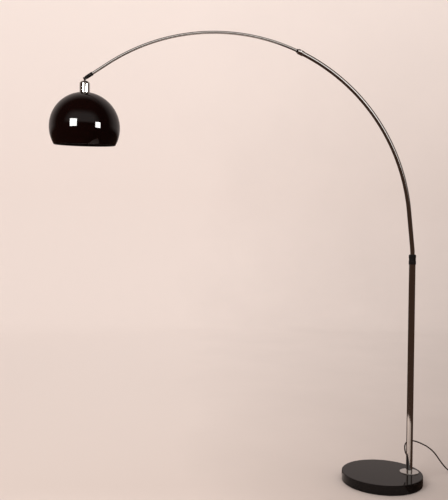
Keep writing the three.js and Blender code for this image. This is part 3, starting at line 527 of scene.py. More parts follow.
def makeBase(values):
    low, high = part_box("base_stone")
    radius, bottom, top = (high.x - low.x) / 2, low.z, high.z
    inner, rings = radius - values["rimBand"], values["rings"]
    rim = roundedOutline([
        (inner, bottom), (radius, bottom, values["bottomEdge"] * mm),
        (radius, top, values["topEdge"] * mm), (inner, top),
    ], steps=10)
    spread = np.linspace(0, 1, rings + 1)[:-1]
    hole, bore, step = values["boltHole"], values["counterbore"], bottom + values["counterboreDepth"]
    under = np.stack([bore + (inner - bore) * spread, np.full(rings, bottom)], -1)
    over = np.stack([hole + (inner - hole) * spread, np.full(rings, top)], -1)[::-1]
    profile = np.vstack([[hole, top - 0.3 * mm], [hole, step], [bore, step], under, rim, over])
    middles = poleX * np.concatenate([[1, 1, 1], 1 - spread, np.zeros(len(rim)), (1 - spread)[::-1]])
    mesh = skin("baseStone", (spun(profile, values["sides"], middles), True))
    addPiece("base_stone_smooth", mesh, stone, "base_stone")

    low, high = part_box("base_felt")
    felted = np.array([
        [values["feltHole"], low.z], [high.x, low.z], [high.x, high.z - 0.3 * mm],
        [high.x - 0.3 * mm, high.z], [values["feltHole"], high.z],
    ])
    feltMiddles = poleX * np.array([1, 0, 0, 0, 1])
    mesh = skin("baseFelt", (spun(felted, values["sides"], feltMiddles), True))
    addPiece("base_felt_smooth", mesh, felt, "base_felt")


makeBase(baseValues)

# The pole with its flange and collar
poleValues = {
    "radius": 14.0,
    "bore": 12.0,
    "flangeEdge": 1.4,
    "waistDepth": 0.7,
    "collarDome": 5.0,
    "collarMouth": 10.25,
    "collarShoulder": 18.2,  # below the collar's top
}


def makePole(values):
    flange = [value / mm for value in (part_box("base_flange")[0].z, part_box("base_flange")[1].z)]
    rim, inner = sizeOf("base_flange")[0] / 2 / mm, values["radius"] + 0.3
    turnedPiece("base_flange_smooth", [
        (inner, flange[0], 0.1), (rim, flange[0], 0.2), (rim, flange[1] - 0.9, values["flangeEdge"]),
        (values["radius"] + 4, flange[1], 6), (inner, flange[1], 0.3),
    ], chrome, ["base_flange"], polePlace, 128)
    low, high = (corner.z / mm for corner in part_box("pole_tube"))
    turnedPiece("pole_smooth", [
        (values["bore"], low, 0.2), (values["radius"], low, 0.3),
        (values["radius"], high, 0.4), (values["bore"], high, 0.2),
    ], chrome, ["pole_tube"], polePlace)
    low, high = (corner.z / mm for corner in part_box("height_collar"))
    outer = sizeOf("height_collar")[0] / 2 / mm
    middle, waist = (low + high) / 2, outer - values["waistDepth"]
    wide, narrow, shoulder = values["radius"] + 0.5, values["collarMouth"], high - values["collarShoulder"]
    turnedPiece("height_collar_smooth", [
        (wide, low, 0.2), (outer, low, 0.9), (outer, middle - 9, 3), (waist, middle - 6, 3),
        (waist, middle + 6, 3), (outer, middle + 9, 3), (outer, high, values["collarDome"]), (narrow, high, 0.5),
        (narrow, shoulder), (wide, shoulder),
    ], blackPlastic, ["height_collar"], polePlace, steps=8)


makePole(poleValues)
print("base and pole done")

# The arc: point = middle + radius (cos a, 0, sin a). Both tubes follow it, the outer one after the straight
# run in the pole, a bend at the collar, and the line that touches both the bend and the arc.
arcValues = {
    "radius": 0.856,
    "bendRadius": 0.3,
    "bendRise": 3 * mm,
    "mastEnd": 65.9,  # degrees along the arc
    "boomStart": 49,
    "boomEnd": 124,
    "straightEnd": 105 * mm,
    "outerRadius": 9.75 * mm,
    "outerBore": 8.55 * mm,
    "innerRadius": 6.25 * mm,
    "innerBore": 4.75 * mm,
    "spacing": 5 * mm,
}
arcMiddle = jointPlace["reach_slide"]


def arcPoints(middle, radius, start, end):
    angle = np.radians(np.linspace(start, end, 401))
    return middle + radius * np.stack([np.cos(angle), 0 * angle, np.sin(angle)], -1)


# A place on the arc or on the straight run past its end, with Z along the tube and X outwards.
def placeOnArc(angle, distance=0.0):
    turn = math.radians(angle)
    outward = np.array([math.cos(turn), 0, math.sin(turn)])
    ahead = np.array([-math.sin(turn), 0, math.cos(turn)])
    return arcMiddle + arcValues["radius"] * outward + distance * ahead, ahead, outward


# A chrome tube whose path stays in the arc's plane, so that its second normal is always Y.
def flatTube(name, path, outer, bore, node):
    path = evenly(path, arcValues["spacing"])
    tangent = np.gradient(path, axis=0)
    tangent /= np.linalg.norm(tangent, axis=1)[:, None]
    over = np.broadcast_to([0.0, 1.0, 0.0], path.shape)
    tube = hollowTube(path, np.cross(over, tangent), over, outer, bore, 56)
    return addPiece(name, skin(name, (tube, True)), chrome, node)


def makeArc(values):
    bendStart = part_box("height_collar")[1].z + values["bendRise"]
    bendMiddle = np.array([poleX - values["bendRadius"], 0, bendStart])
    between = bendMiddle - arcMiddle
    share = (values["radius"] - values["bendRadius"]) / np.linalg.norm(between)
    lean = math.degrees(math.atan2(between[2], between[0]) + math.acos(share))
    foot = np.array([[poleX, 0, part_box("outer_arc_tube")[0].z]])
    bend = arcPoints(bendMiddle, values["bendRadius"], 0, lean)
    outerArc = arcPoints(arcMiddle, values["radius"], lean, values["mastEnd"])
    path = np.vstack([foot, bend, outerArc])
    outer = flatTube("outer_arc_smooth", path, values["outerRadius"], values["outerBore"], "outer_arc_tube")
    innerArc = arcPoints(arcMiddle, values["radius"], values["boomStart"], values["boomEnd"])
    path = np.vstack([innerArc, placeOnArc(values["boomEnd"], values["straightEnd"])[0][None]])
    inner = flatTube("inner_arc_smooth", path, values["innerRadius"], values["innerBore"], "inner_arc_tube")
    return [outer, inner]


arcPieces = makeArc(arcValues)

clampValues = {
    "length": 26 * mm,
    "bore": 10.4,  # from here on in millimetres, for the turned outlines
    "outer": 11.8,
    "bushBore": 6.9,
    "bushOuter": 7.9,
    "bushRim": 8.7,
    "bushLength": 30,
    "rimLength": 6,
    "screwRadius": 2.5,
    "knobRadius": 4.6,
    "knobLength": 6,
    "dimple": 2.2,
    "dimpleRim": 2.6,
    "dimpleDepth": 0.5,
    "shankShown": 1.6,  # the rest of the screw is hidden in the clamp
    "knurls": 28,
    "knurlDepth": 0.14,
}


def makeClamp(values):
    half = values["length"] / mm / 2
    angle = arcValues["mastEnd"] - math.degrees(values["length"] / 2 / arcValues["radius"])
    place = placeOnArc(angle)
    clamp = turnedPiece("reach_clamp_smooth", [
        (values["bore"], -half, 0.3), (values["outer"], -half, 1.0),
        (values["outer"], half, 1.0), (values["bore"], half, 0.3),
    ], chrome, ["reach_clamp"], place)
    rimLow = half + 0.8
    rimHigh, bushLow = rimLow + values["rimLength"], rimLow - values["bushLength"]
    turnedPiece("clamp_bush_smooth", [
        (values["bushBore"], bushLow, 0.2), (values["bushOuter"], bushLow, 0.2),
        (values["bushOuter"], rimLow), (values["bushRim"], rimLow, 0.3), (values["bushRim"], rimHigh, 1.0),
        (values["bushBore"], rimHigh, 0.3),
    ], blackPlastic, ["clamp_bush"], place, 72)

    # the screw points at the tube from the front, so its own Z runs towards the tube
    start = place[0] - beside * (values["outer"] + 0.3 + values["knobLength"]) * mm
    knob, shank, length = values["knobRadius"], values["screwRadius"], values["knobLength"]
    tip, depth = length + values["shankShown"], values["dimpleDepth"]
    outline = millimetreOutline([
        (0, depth), (values["dimple"], depth, 0.3), (values["dimpleRim"], 0, 0.3), (knob, 0, 0.9),
        (knob, length, 0.5), (shank, length, 0.1), (shank, tip, 0.2), (0, tip),
    ])
    along, radius = outline[:, 1] / mm, outline[:, 0] / mm
    held = (along > 1.1) & (along < length - 0.7) & (radius > knob - 0.2)
    points = spun(outline, 224, 0.0, values["knurls"], np.where(held, values["knurlDepth"] * mm, 0.0))
    mesh = skin("clampScrew", (carried(points, start, (0, 1, 0), place[1]), False))
    return [clamp, addPiece("clamp_screw_smooth", mesh, chrome, "clamp_screw")]


arcPieces += makeClamp(clampValues)
print("arc done")

# The end sleeve: a turned body, and two prongs whose section is the part of the circle outside the slot.
sleeveValues = {
    "start": 79 * mm,
    "length": 46,
    "outer": 8.0,
    "bore": 6.55,
    "seat": 26.3,
    "leadBore": 3.1,
    "slotFloor": 32.0,
    "slotHalf": 5.3,
    "screwOut": 8.4,  # from the sleeve's axis
    "screwRadius": 2,
    "screwHeight": 1.8,
    "socket": 0.9,
    "pinStart": 3.4,  # along the pin's axis, from the arc's plane
    "pinRadius": 1.6,
    "pinHeadStart": 8.3,
    "pinHead": 2.6,
    "pinEnd": 9.5,
}


def makeSleeve(values):
    start, ahead = placeOnArc(arcValues["boomEnd"], values["start"])[:2]
    pinAxis = jointAxis["shade_swing"]
    place = (start, ahead, np.cross(pinAxis, ahead))
    body = millimetreOutline([
        (values["bore"], 0, 0.2), (values["outer"], 0, 0.8), (values["outer"], values["slotFloor"], 0.05),
        (values["leadBore"], values["slotFloor"], 0.1), (values["leadBore"], values["seat"]),
        (values["bore"], values["seat"]),
    ], closed=True)
    end = values["length"]
    heights = np.array([values["slotFloor"] - 0.2, end - 1.2, end - 0.5, end - 0.1])
    shrink = np.array([0, 0, 0.25, 0.8])
    half = math.acos(values["slotHalf"] / values["outer"])
    turn = np.linspace(-half, half, 25)
    chord = np.linspace(1, -1, 13)[1:-1]
    flatX = values["outer"] * math.sin(half) * chord
    section = np.concatenate([
        values["outer"] * np.stack([np.sin(turn), np.cos(turn)], -1),
        np.stack([flatX, np.full(11, values["slotHalf"])], -1),
    ])
    centre = np.array([0, (values["outer"] + values["slotHalf"]) / 2])
    scaled = centre + (section - centre) * (1 - shrink[:, None, None] / 3)
    rows = np.concatenate([scaled[:1] * 0 + centre, scaled, scaled[:1] * 0 + centre])
    levels = np.concatenate([heights[:1], heights, [end]])
    prong = np.concatenate([rows, np.broadcast_to(levels[:, None, None], (*rows.shape[:2], 1))], -1) * mm
    grids = [(carried(spun(body, 72), *place), True)]
    for side in (1, -1):
        grids.append((carried(prong * [side, side, 1], *place), False))
    addPiece("end_sleeve_smooth", skin("endSleeve", *grids), blackPlastic, "end_sleeve")

    screwAt = start + ahead * (values["seat"] / 2 - 2) * mm - pinAxis * values["screwOut"] * mm
    socket, radius, height = values["socket"], values["screwRadius"], values["screwHeight"]
    turnedPiece("sleeve_screw_smooth", [
        (0, socket), (socket, socket, 0.1), (socket, 0, 0.1),
        (radius, 0, 0.3), (radius, height, 0.1), (0, height),
    ], steel, ["sleeve_screw"], (screwAt, pinAxis, ahead), 48, False)
    start, headStart, end = values["pinStart"], values["pinHeadStart"], values["pinEnd"]
    pin, head = values["pinRadius"], values["pinHead"]
    for node, side in (("link_pin_front", -1), ("link_pin_back", 1)):
        turnedPiece(node + "_smooth", [
            (0, start), (pin, start, 0.3), (pin, headStart, 0.1),
            (head, headStart, 0.2), (head, end, 0.8), (0, end),
        ], steel, [node], (jointPlace["shade_swing"], pinAxis * side, ahead), 48, False)


makeSleeve(sleeveValues)

# Everything that hangs: heights are below the pivot, in millimetres, along the hanging pieces' own axis.
pinAxis = jointAxis["shade_swing"]
hangAxis = unit(upright - (upright @ pinAxis) * pinAxis)
hangPlace = (jointPlace["shade_swing"], hangAxis, np.cross(pinAxis, hangAxis))
hangValues = {
    "eyeBore": 1.9,
    "eyeHalf": 5,
    "eyeRadius": 5.0,
    "stemTop": -4,
    "stemRadius": 4.4,
    "stemBottom": -24.8,
    "wireBore": 2.6,
    "capTop": -12.0,
    "capBottom": -59.5,
    "capRadius": 22.2,
    "capWall": 1.2,
    "capCorner": 12.5,
    "capHole": 4.7,
    "ballMiddle": -210.675,
    "ballRadius": 152.5,
    "wall": 2.5,
    "rimDrop": 75.6,
    "neckRadius": 20.3,
    "shadeSides": 192,
}


def makeLink(values):
    bore, outer, half = values["eyeBore"], values["eyeRadius"], values["eyeHalf"]
    eye = millimetreOutline([
        (bore, -half, 0.2), (outer, -half, 0.7), (outer, half, 0.7), (bore, half, 0.2),
    ], closed=True)
    bore, outer = values["wireBore"], values["stemRadius"]
    bottom, top = values["stemBottom"], values["stemTop"]
    stem = millimetreOutline([
        (bore, bottom, 0.2), (outer, bottom, 0.4), (outer, top, 0.1), (bore, top, 0.1),
    ], closed=True)
    grids = [
        (carried(spun(eye, 64), hangPlace[0], pinAxis, hangAxis), True),
        (carried(spun(stem, 64), *hangPlace), True),
    ]
    addPiece("hanger_link_smooth", skin("hangerLink", *grids), steel, "hanger_link")


def makeShade(values):
    top, bottom, radius, wall = values["capTop"], values["capBottom"], values["capRadius"], values["capWall"]
    cap = turnedPiece("shade_cap_smooth", [
        (radius - wall, bottom, 0.3), (radius, bottom, 0.5), (radius, top, values["capCorner"]),
        (values["capHole"], top, 0.3), (values["capHole"], top - wall, 0.2),
        (radius - wall, top - wall, values["capCorner"] - wall),
    ], chrome, ["shade_cap"], hangPlace, 128, steps=16)

    # the shell: a ball's outside from the neck down to the rim, round the rim's edge, and its inside back up
    middle, outer, inner = values["ballMiddle"], values["ballRadius"], values["ballRadius"] - values["wall"]
    low, neck = -values["rimDrop"], values["neckRadius"]
    outside = np.arange(0, 1, 1 / 110)
    start, end = math.acos(neck / outer), math.asin(low / outer) + 0.5 / outer
    turn = start + (end - start) * outside
    skinOut = np.stack([outer * np.cos(turn), middle + outer * np.sin(turn)], -1)
    start, end = math.asin(low / inner) + 0.5 / inner, math.acos(neck / inner)
    turn = start + (end - start) * outside
    skinIn = np.stack([inner * np.cos(turn), middle + inner * np.sin(turn)], -1)
    edgeOut = math.sqrt(outer**2 - low**2)
    edgeIn = math.sqrt(inner**2 - low**2)
    edge = np.array([
        [edgeOut - 0.15, middle + low + 0.12], [edgeOut - 0.6, middle + low],
        [edgeIn + 0.6, middle + low], [edgeIn + 0.15, middle + low + 0.12],
    ])
    profile = np.vstack([skinOut, edge, skinIn]) * mm
    mesh = skin("shadeShell", (carried(spun(profile, values["shadeSides"]), *hangPlace), True))
    shade = addPiece("shade_smooth", mesh, gloss, "shade")
    mesh.materials.append(lining)
    centres = np.empty(len(mesh.polygons) * 3)
    mesh.polygons.foreach_get("center", centres)
    ball = hangPlace[0] + hangAxis * middle * mm
    reach = np.linalg.norm(centres.reshape(-1, 3) - ball, axis=1)
    mesh.polygons.foreach_set("material_index", (reach < (inner + 0.6) * mm).astype(np.int32))
    return [shade, cap]


holderValues = {
    "ringBore": 20.0,
    "gripRadius": 24.4,
    "gripRidges": 24,
    "ringFlange": 29,
    "ringHeight": 6,
    "flangeHeight": 3,
    "shellBore": 17.1,
    "shellRadius": 19.7,
    "shellBottom": -78.8,
    "threadBottom": -67.3,
    "threadTop": -48.5,
    "threadPitch": 3.6,
    "threadRadius": 12.55,
    "threadDepth": 0.4,
    "bulbRadius": 30,
    "bulbMiddle": -119,
    "bulbNeck": 12,
    "bulbTop": -67.6,
}


def makeLampholder(values):
    flange, bore, grip = values["ringFlange"], values["ringBore"], values["gripRadius"]
    inside = hangValues["ballRadius"] - hangValues["wall"]
    top = hangValues["ballMiddle"] + math.sqrt(inside ** 2 - flange ** 2) - 0.3
    low, step = top - values["ringHeight"], top - values["flangeHeight"]
    outline = millimetreOutline([
        (bore, low, 0.3), (grip, low, 0.5), (grip + 0.2, step, 0.2), (flange, step, 0.5),
        (flange, top, 0.4), (bore, top, 0.3),
    ], closed=True)
    ridged = (outline[:, 0] > (grip - 0.4) * mm) & (outline[:, 0] < (grip + 0.3) * mm)
    points = spun(outline, 240, 0.0, values["gripRidges"], np.where(ridged, 0.3 * mm, 0.0))
    mesh = skin("shadeRing", (carried(points, *hangPlace), True))
    addPiece("shade_ring_smooth", mesh, blackPlastic, "shade_ring")
    inner, outer = values["shellBore"], values["shellRadius"]
    low, hole = values["shellBottom"], hangValues["capHole"]
    turnedPiece("holder_shell_smooth", [
        (inner, low, 0.5), (outer, low, 0.8), (outer, -24.8, 3), (13.7, -18.8, 2), (hole, -18.8, 0.2),
        (hole, -21.4, 0.2), (12.7, -21.4, 1.5), (inner, -26.3, 2),
    ], blackPlastic, ["holder_shell"], hangPlace)

    # the bulb's cap carries a rolled thread: radius = middle + depth cos(2 pi height / pitch - angle)
    low, high = values["threadBottom"], values["threadTop"]
    height = np.linspace(low, high, 80)
    angle = np.arange(96) * 2 * np.pi / 96
    fade = np.clip(np.minimum(height - low, high - height) / 2, 0, 1)[:, None]
    wave = np.cos(2 * np.pi * height[:, None] / values["threadPitch"] - angle)
    radius = values["threadRadius"] + values["threadDepth"] * fade * wave
    threaded = np.stack([radius * np.cos(angle), radius * np.sin(angle), height[:, None] + 0 * angle], -1)
    close = spun(np.array([[0, low], [12.0, low]]))
    tip = spun(np.array([[10.5, -46.0], [8.0, -43.8], [5.0, -43.2], [4.6, -42.5], [3.8, -42.3], [0, -42.3]]))
    mesh = skin("bulbCap", (carried(np.concatenate([close, threaded, tip]) * mm, *hangPlace), False))
    addPiece("bulb_cap_smooth", mesh, aluminium, "bulb_cap")

    # the bulb: a ball that runs into its neck through a smooth waist
    turn = np.radians(np.linspace(-90, 35, 60))
    radius, narrow, top = values["bulbRadius"], values["bulbNeck"], values["bulbTop"]
    ball = np.stack([radius * np.cos(turn), values["bulbMiddle"] + radius * np.sin(turn)], -1)
    share = np.linspace(0, 1, 30)[1:, None]
    knots = [ball[-1], ball[-1] + [-7, 10], np.array([narrow, top - 14]), np.array([narrow, top])]
    neck = ((1 - share) ** 3 * knots[0] + 3 * share * (1 - share) ** 2 * knots[1]
            + 3 * share**2 * (1 - share) * knots[2] + share**3 * knots[3])
    profile = np.vstack([ball, neck, [[0, top]]]) * mm
    profile[0, 0] = 0
    mesh = skin("bulbGlass", (carried(spun(profile), *hangPlace), False))
    addPiece("bulb_glass_smooth", mesh, glass, "bulb_glass")


makeLink(hangValues)
softboxPieces = makeShade(hangValues)
makeLampholder(holderValues)
print("shade done")

# The mains cord: the listed route in millimetres, then a coil whose turns are worked out, then the plug.
cordValues = {
    "diameter": 6 * mm,
    "exitHeight": 108 * mm,
    "switchPlace": np.array([413, 133, 0]) * mm,
    "switchHeading": 16,
    "switchCordHeight": 8 * mm,
    "switchHalf": 30 * mm,
    "plugPlace": np.array([485.3, 304, 0]) * mm,
    "plugHeading": 96,
    "reliefLength": 22 * mm,
    "fitGap": 0.3 * mm,
    "lanes": 4,
    "spacing": 1.8 * mm,
}
lampRoute = [
    [121.5, 51.3, 109.3], [121.5, 59.5, 114], [121.5, 65.4, 121.2], [121.5, 68.8, 130],
    [122.2, 69.5, 139.2], [125.4, 69.3, 147.9], [131.2, 68.8, 155.1], [139.3, 68.2, 159.9],
    [148.6, 67.6, 161.6], [166, 67, 160], [183, 68.3, 154.5], [202, 71, 146], [224, 77, 134],
    [246, 84, 118], [264, 89, 101], [278, 93, 84], [292, 97, 65], [306, 101, 47], [320, 105.5, 31],
    [333, 109.5, 18.8], [346, 113.5, 11.3],
]
middleRoute = [
    [475.5, 152.6, 7.6], [482.7, 159.5, 6.7], [487.4, 168.4, 5.7], [489, 178.2, 4.8],
]
tailRoute = [
    [489, 257, 9.2], [488.6, 270, 7.6],
]

intoSwitch, intoPlug = heading(cordValues["switchHeading"]), heading(cordValues["plugHeading"])
switchMiddle = cordValues["switchPlace"] + [0, 0, cordValues["switchCordHeight"]]
plugBack = cordValues["plugPlace"] + [0, 0, sizeOf("plug_body")[2] / 2]


# One free stretch: straight out of one end, through its route, straight into the other.
def looseStretch(start, outward, route, end, inward, values):
    lead = values["diameter"] / 2
    points = [start, start + outward * lead, *(np.array(route) * mm), end - inward * lead, end]
    return smoothPath(points, values["spacing"])


# The coil: each turn keeps its lane and moves to the next one near its end. Inward moves roll round the
# lane below by a quarter circle, so that the jackets just touch; outward moves start a third of a turn earlier.
def coilPath(middle, lanes, low, values):
    diameter, across = values["diameter"], len(lanes)
    turns = 2 * across - 1
    angle = np.linspace(0, 360 * turns, 240 * turns + 1)
    turn = np.minimum(angle // 360, turns - 1).astype(int)
    inTurn = angle - 360 * turn
    late = np.clip((inTurn - 240) / 120, 0, 1)
    early = np.clip((inTurn - 120) / 120, 0, 1)
    roll = np.pi / 2 * (3 * late**2 - 2 * late**3)
    ease = 3 * early**2 - 2 * early**3
    lane = np.array([*lanes, *lanes[::-1]])[turn]
    stages = [turn < across - 1, turn == across - 1]
    radius = np.select(stages, [lane - diameter * (1 - np.cos(roll)), lane], lane + diameter * ease)
    height = low + np.select(stages, [0 * roll, diameter * np.sin(roll)], diameter)
    bearing = np.radians(angle)
    flat = np.stack([radius * np.cos(bearing), radius * np.sin(bearing), height], -1)
    return np.array([middle[0], middle[1], 0]) + flat


def cordEnds(values):
    radius, gap = values["diameter"] / 2, values["fitGap"]
    reach = values["switchHalf"] + values["reliefLength"] + 2 * gap
    coilMiddle, coilRadius = middleOf("cord_coil"), sizeOf("cord_coil")[0] / 2
    standOff = math.sqrt((coilRadius + 2 * gap) ** 2 - (coilRadius - 2 * radius) ** 2)
    outerLane = coilRadius - radius
    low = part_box("cord_coil")[0].z + radius
    return {
        "exit": np.array([poleX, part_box("cord_grommet")[1].y, values["exitHeight"]]) + [0, gap, 0],
        "switchIn": switchMiddle - intoSwitch * reach,
        "switchOut": switchMiddle + intoSwitch * reach,
        "coilMiddle": coilMiddle,
        "lanes": outerLane - values["diameter"] * np.arange(values["lanes"]),
        "low": low,
        "coilIn": np.array([coilMiddle[0] + outerLane, coilMiddle[1] - standOff, low]),
        "coilOut": np.array([coilMiddle[0] + outerLane, coilMiddle[1] + standOff, low + 2 * radius]),
        "plugIn": plugBack - intoPlug * (values["reliefLength"] + 2 * gap),
    }


def makeCord(values):
    ends = cordEnds(values)
    path = evenly(np.vstack([
        looseStretch(ends["exit"], beside, lampRoute, ends["switchIn"], intoSwitch, values),
        looseStretch(ends["switchOut"], intoSwitch, middleRoute, ends["coilIn"], beside, values),
        coilPath(ends["coilMiddle"], ends["lanes"], ends["low"], values),
        looseStretch(ends["coilOut"], beside, tailRoute, ends["plugIn"], intoPlug, values),
    ]), values["spacing"])
    length = float(np.linalg.norm(np.diff(path, axis=0), axis=1).sum())
    across, over = pathNormals(path, upright)
    order = np.concatenate([[0], np.arange(len(path)), [len(path) - 1]])
    radii = np.full(len(order), values["diameter"] / 2)
    radii[[0, -1]] = 0
    mesh = skin("mainsCord", (along(path[order], radii, across[order], over[order], 16), False))
    nodes = ["mains_cord_lamp", "mains_cord_middle", "mains_cord_tail", "cord_coil"]
    return addPiece("mains_cord", mesh, jacket, *nodes), ends["exit"], length, path


cord, cordExit, cordLength, cordPath = makeCord(cordValues)
print("cord length", round(cordLength, 4))

# The cord's reliefs: a taper with grooves round it, radius = taper - depth (1 - cos ring), faded at its ends
reliefValues = {
    "wide": 5.8,
    "narrow": 3.9,
    "collar": 2.0,
    "length": cordValues["reliefLength"] / mm,
    "ribs": 6,
    "ribDepth": 0.32,
}
grommetValues = {**reliefValues, "wide": 6.6, "length": 24.0}


def makeRelief(node, origin, axis, values):
    wide, length = values["wide"], values["length"]
    share = np.linspace(0, 1, 121)
    start = values["collar"] / length
    run = np.clip((share - start) / (1 - start), 0, 1)
    ribbed = np.clip(np.minimum(run / 0.08, (1 - run) / 0.12), 0, 1)
    groove = values["ribDepth"] * ribbed * (1 - np.cos(2 * np.pi * values["ribs"] * run))
    radius = wide + (values["narrow"] - wide) * run - groove
    radius[:3] = wide - np.array([0.5, 0.15, 0])
    radius[-2:] = values["narrow"] - np.array([0.1, 0.4])
    profile = np.vstack([[0, 0], np.stack([radius, share * length], -1), [0, length]]) * mm
    mesh = skin(node + "Ribbed", (carried(spun(profile, 64), origin, axis, upright), False))
    return addPiece(node + "_smooth", mesh, nylon, node)


switchFace = intoSwitch * (cordValues["switchHalf"] + cordValues["fitGap"])
reliefs = [
    makeRelief("switch_relief_lamp", switchMiddle - switchFace, -intoSwitch, reliefValues),
    makeRelief("switch_relief_mains", switchMiddle + switchFace, intoSwitch, reliefValues),
    makeRelief("plug_relief", plugBack - intoPlug * cordValues["fitGap"], -intoPlug, reliefValues),
]
grommetFace = np.array([poleX, (poleValues["radius"] + 0.3) * mm, cordValues["exitHeight"]])
makeRelief("cord_grommet", grommetFace, beside, grommetValues)

# The foot switch: every row is a stadium, two half circles joined by straights, set in by its own amount.
switchValues = {
    "length": 60.0,
    "width": 34.0,
    "wall": 2.0,
    "baseTop": 7.0,
    "top": 19.0,
    "button": 10.0,
    "buttonTop": 24.0,
    "half": 40,  # points on each half circle
}


def stadiumAngles(values):
    turn = np.linspace(-np.pi / 2, np.pi / 2, values["half"])
    return np.concatenate([turn, turn + np.pi])


def stadiumRows(rows, values):
    side = np.repeat([1.0, -1.0], values["half"])
    angle = stadiumAngles(values)
    inset, height = rows[:, :1], rows[:, 1:]
    radius = values["width"] / 2 - inset
    shift = values["length"] / 2 - values["width"] / 2
    points = [side * shift + radius * np.cos(angle), radius * np.sin(angle), height + 0 * angle]
    return np.stack(points, -1)


def makeSwitch(values):
    place = (cordValues["switchPlace"], upright, heading(cordValues["switchHeading"]))
    half = values["width"] / 2
    base = roundedOutline([(half, 0), (0, 0, 1.2), (0, values["baseTop"], 0.4), (half, values["baseTop"])])
    mesh = skin("switchBase", (carried(stadiumRows(base, values) * mm, *place), False))
    made = [addPiece("switch_base_smooth", mesh, blackPlastic, "switch_base")]

    low, top, wall = values["baseTop"] + 0.3, values["top"], values["wall"]
    outside = roundedOutline([(wall, low), (0, low, 0.3), (0.8, top, 3.2), (5, top)], steps=9)
    inside = np.array([[6.0, top - wall], [wall, top - wall], [wall, low]])
    outer, inner = stadiumRows(outside, values), stadiumRows(inside, values)
    angle = stadiumAngles(values)
    hole = values["button"] + 0.5
    ring = np.stack([np.cos(angle), np.sin(angle), 0 * angle], -1)
    rings = [ring * [hole + grow, hole + grow, 0] + [0, 0, height]
             for grow, height in ((0.5, top), (0.15, top - 0.15), (0, top - 0.5), (0, top - wall))]
    rows = np.concatenate([outer, np.array(rings), inner])
    mesh = skin("switchCover", (carried(rows * mm, *place), True))
    made.append(addPiece("switch_cover_smooth", mesh, blackPlastic, "switch_cover"))
    button, flange = values["button"], values["button"] + 2
    made.append(turnedPiece("switch_button_smooth", [
        (0, top - wall - 2.3), (flange, top - wall - 2.3, 0.2), (flange, top - wall - 0.3, 0.2),
        (button, top - wall - 0.3), (button, values["buttonTop"], 1.6), (0, values["buttonTop"]),
    ], blackPlastic, ["switch_button"], place, 96, False, 8))
    return made


switchPieces = makeSwitch(switchValues)

# The tie: a flat band with rounded corners round one side of the coil.
tieValues = {"angle": 200, "width": 6.0, "thickness": 0.8, "middle": 33.0, "halfAcross": 12.6, "height": 12.6}


def makeTie(values):
    turn = math.radians(values["angle"])
    outward = np.array([math.cos(turn), math.sin(turn), 0])
    origin = middleOf("cord_coil") * [1, 1, 0] + outward * values["middle"] * mm
    thickness, across = values["thickness"], values["halfAcross"]
    low, high = thickness, thickness + values["height"]

    def band(grow):
        return roundedOutline([
            (-across - grow, low - grow, 0.6 + grow), (across + grow, low - grow, 0.6 + grow),
            (across + grow, high + grow, 0.6 + grow), (-across - grow, high + grow, 0.6 + grow),
        ], closed=True, guard=0.5)

    half = values["width"] / 2
    rows = []
    rounded, edge = thickness * 0.8, half - 0.25
    for grow, depth in ((0, -half), (rounded, -half), (thickness, -edge), (thickness, edge), (rounded, half), (0, half)):
        outline = band(grow)
        rows.append(np.stack([outline[:, 0], np.full(len(outline), depth), outline[:, 1]], -1))
    mesh = skin("cordTie", (carried(np.array(rows) * mm, origin, upright, outward), True))
    return addPiece("cord_tie_smooth", mesh, nylon, "cord_tie")


tie = makeTie(tieValues)

# The plug: rounded-box sections along its length, |y / width|^4 + |z / height|^4 = 1, and two round pins.
plugValues = {
    "length": 35.0,
    "width": 16.0,  # half widths and heights
    "height": 7.0,
    "back": 9.0,
    "pinRadius": 2.0,
    "pinLength": 19.0,
    "spacing": 19.0,
}


def makePlug(values):
    back, front = [0, 0, 0.004, 0.015, 0.035], [0.975, 0.99, 0.998, 1, 1]
    share = np.concatenate([back, np.linspace(0.06, 0.95, 40), front])
    swell = np.clip(share / 0.45, 0, 1)
    width = values["back"] + (values["width"] - values["back"]) * np.sin(swell * np.pi / 2)
    rounding = np.clip(np.minimum(share / 0.06, (1 - share) / 0.03), 0, 1)
    inset = 1.4 * (1 - np.sqrt(np.clip(1 - (1 - rounding) ** 2, 0, 1)))
    height = values["height"] - 1.6 * np.clip(1 - share / 0.3, 0, 1) ** 2
    turn = np.arange(96) * 2 * np.pi / 96
    box = [np.sign(wave) * np.abs(wave) ** 0.5 for wave in (np.cos(turn), np.sin(turn))]
    sections = np.stack([
        np.broadcast_to(share[:, None] * values["length"], (len(share), 96)),
        (width - inset)[:, None] * box[0], (height - inset)[:, None] * box[1],
    ], -1)
    sections[[0, -1], :, 1:] = 0
    place = (plugBack, upright, intoPlug)
    mesh = skin("plugBody", (carried(sections * mm, *place), False))
    made = [addPiece("plug_body_smooth", mesh, blackPlastic, "plug_body")]
    sideDirection = np.cross(upright, intoPlug)
    for node, side in (("plug_pin_left", 1), ("plug_pin_right", -1)):
        start = plugBack + sideDirection * side * values["spacing"] / 2 * mm
        start = start + intoPlug * values["length"] * mm
        made.append(turnedPiece(node + "_smooth", [
            (0, 0.1), (values["pinRadius"], 0.1, 0.1), (values["pinRadius"], values["pinLength"], 1.2),
            (0, values["pinLength"]),
        ], brass, [node], (start, intoPlug, upright), 48, False, 8))
    return made


plugPieces = makePlug(plugValues)
print("cord done")

# The CAD pieces that stay: they are inside, and get their finishes through their slots.
for name, node in frame["nodes"].items():
    node.data.materials.clear()
    node.data.materials.append(finishOfSlot[slotOfNode[name]])

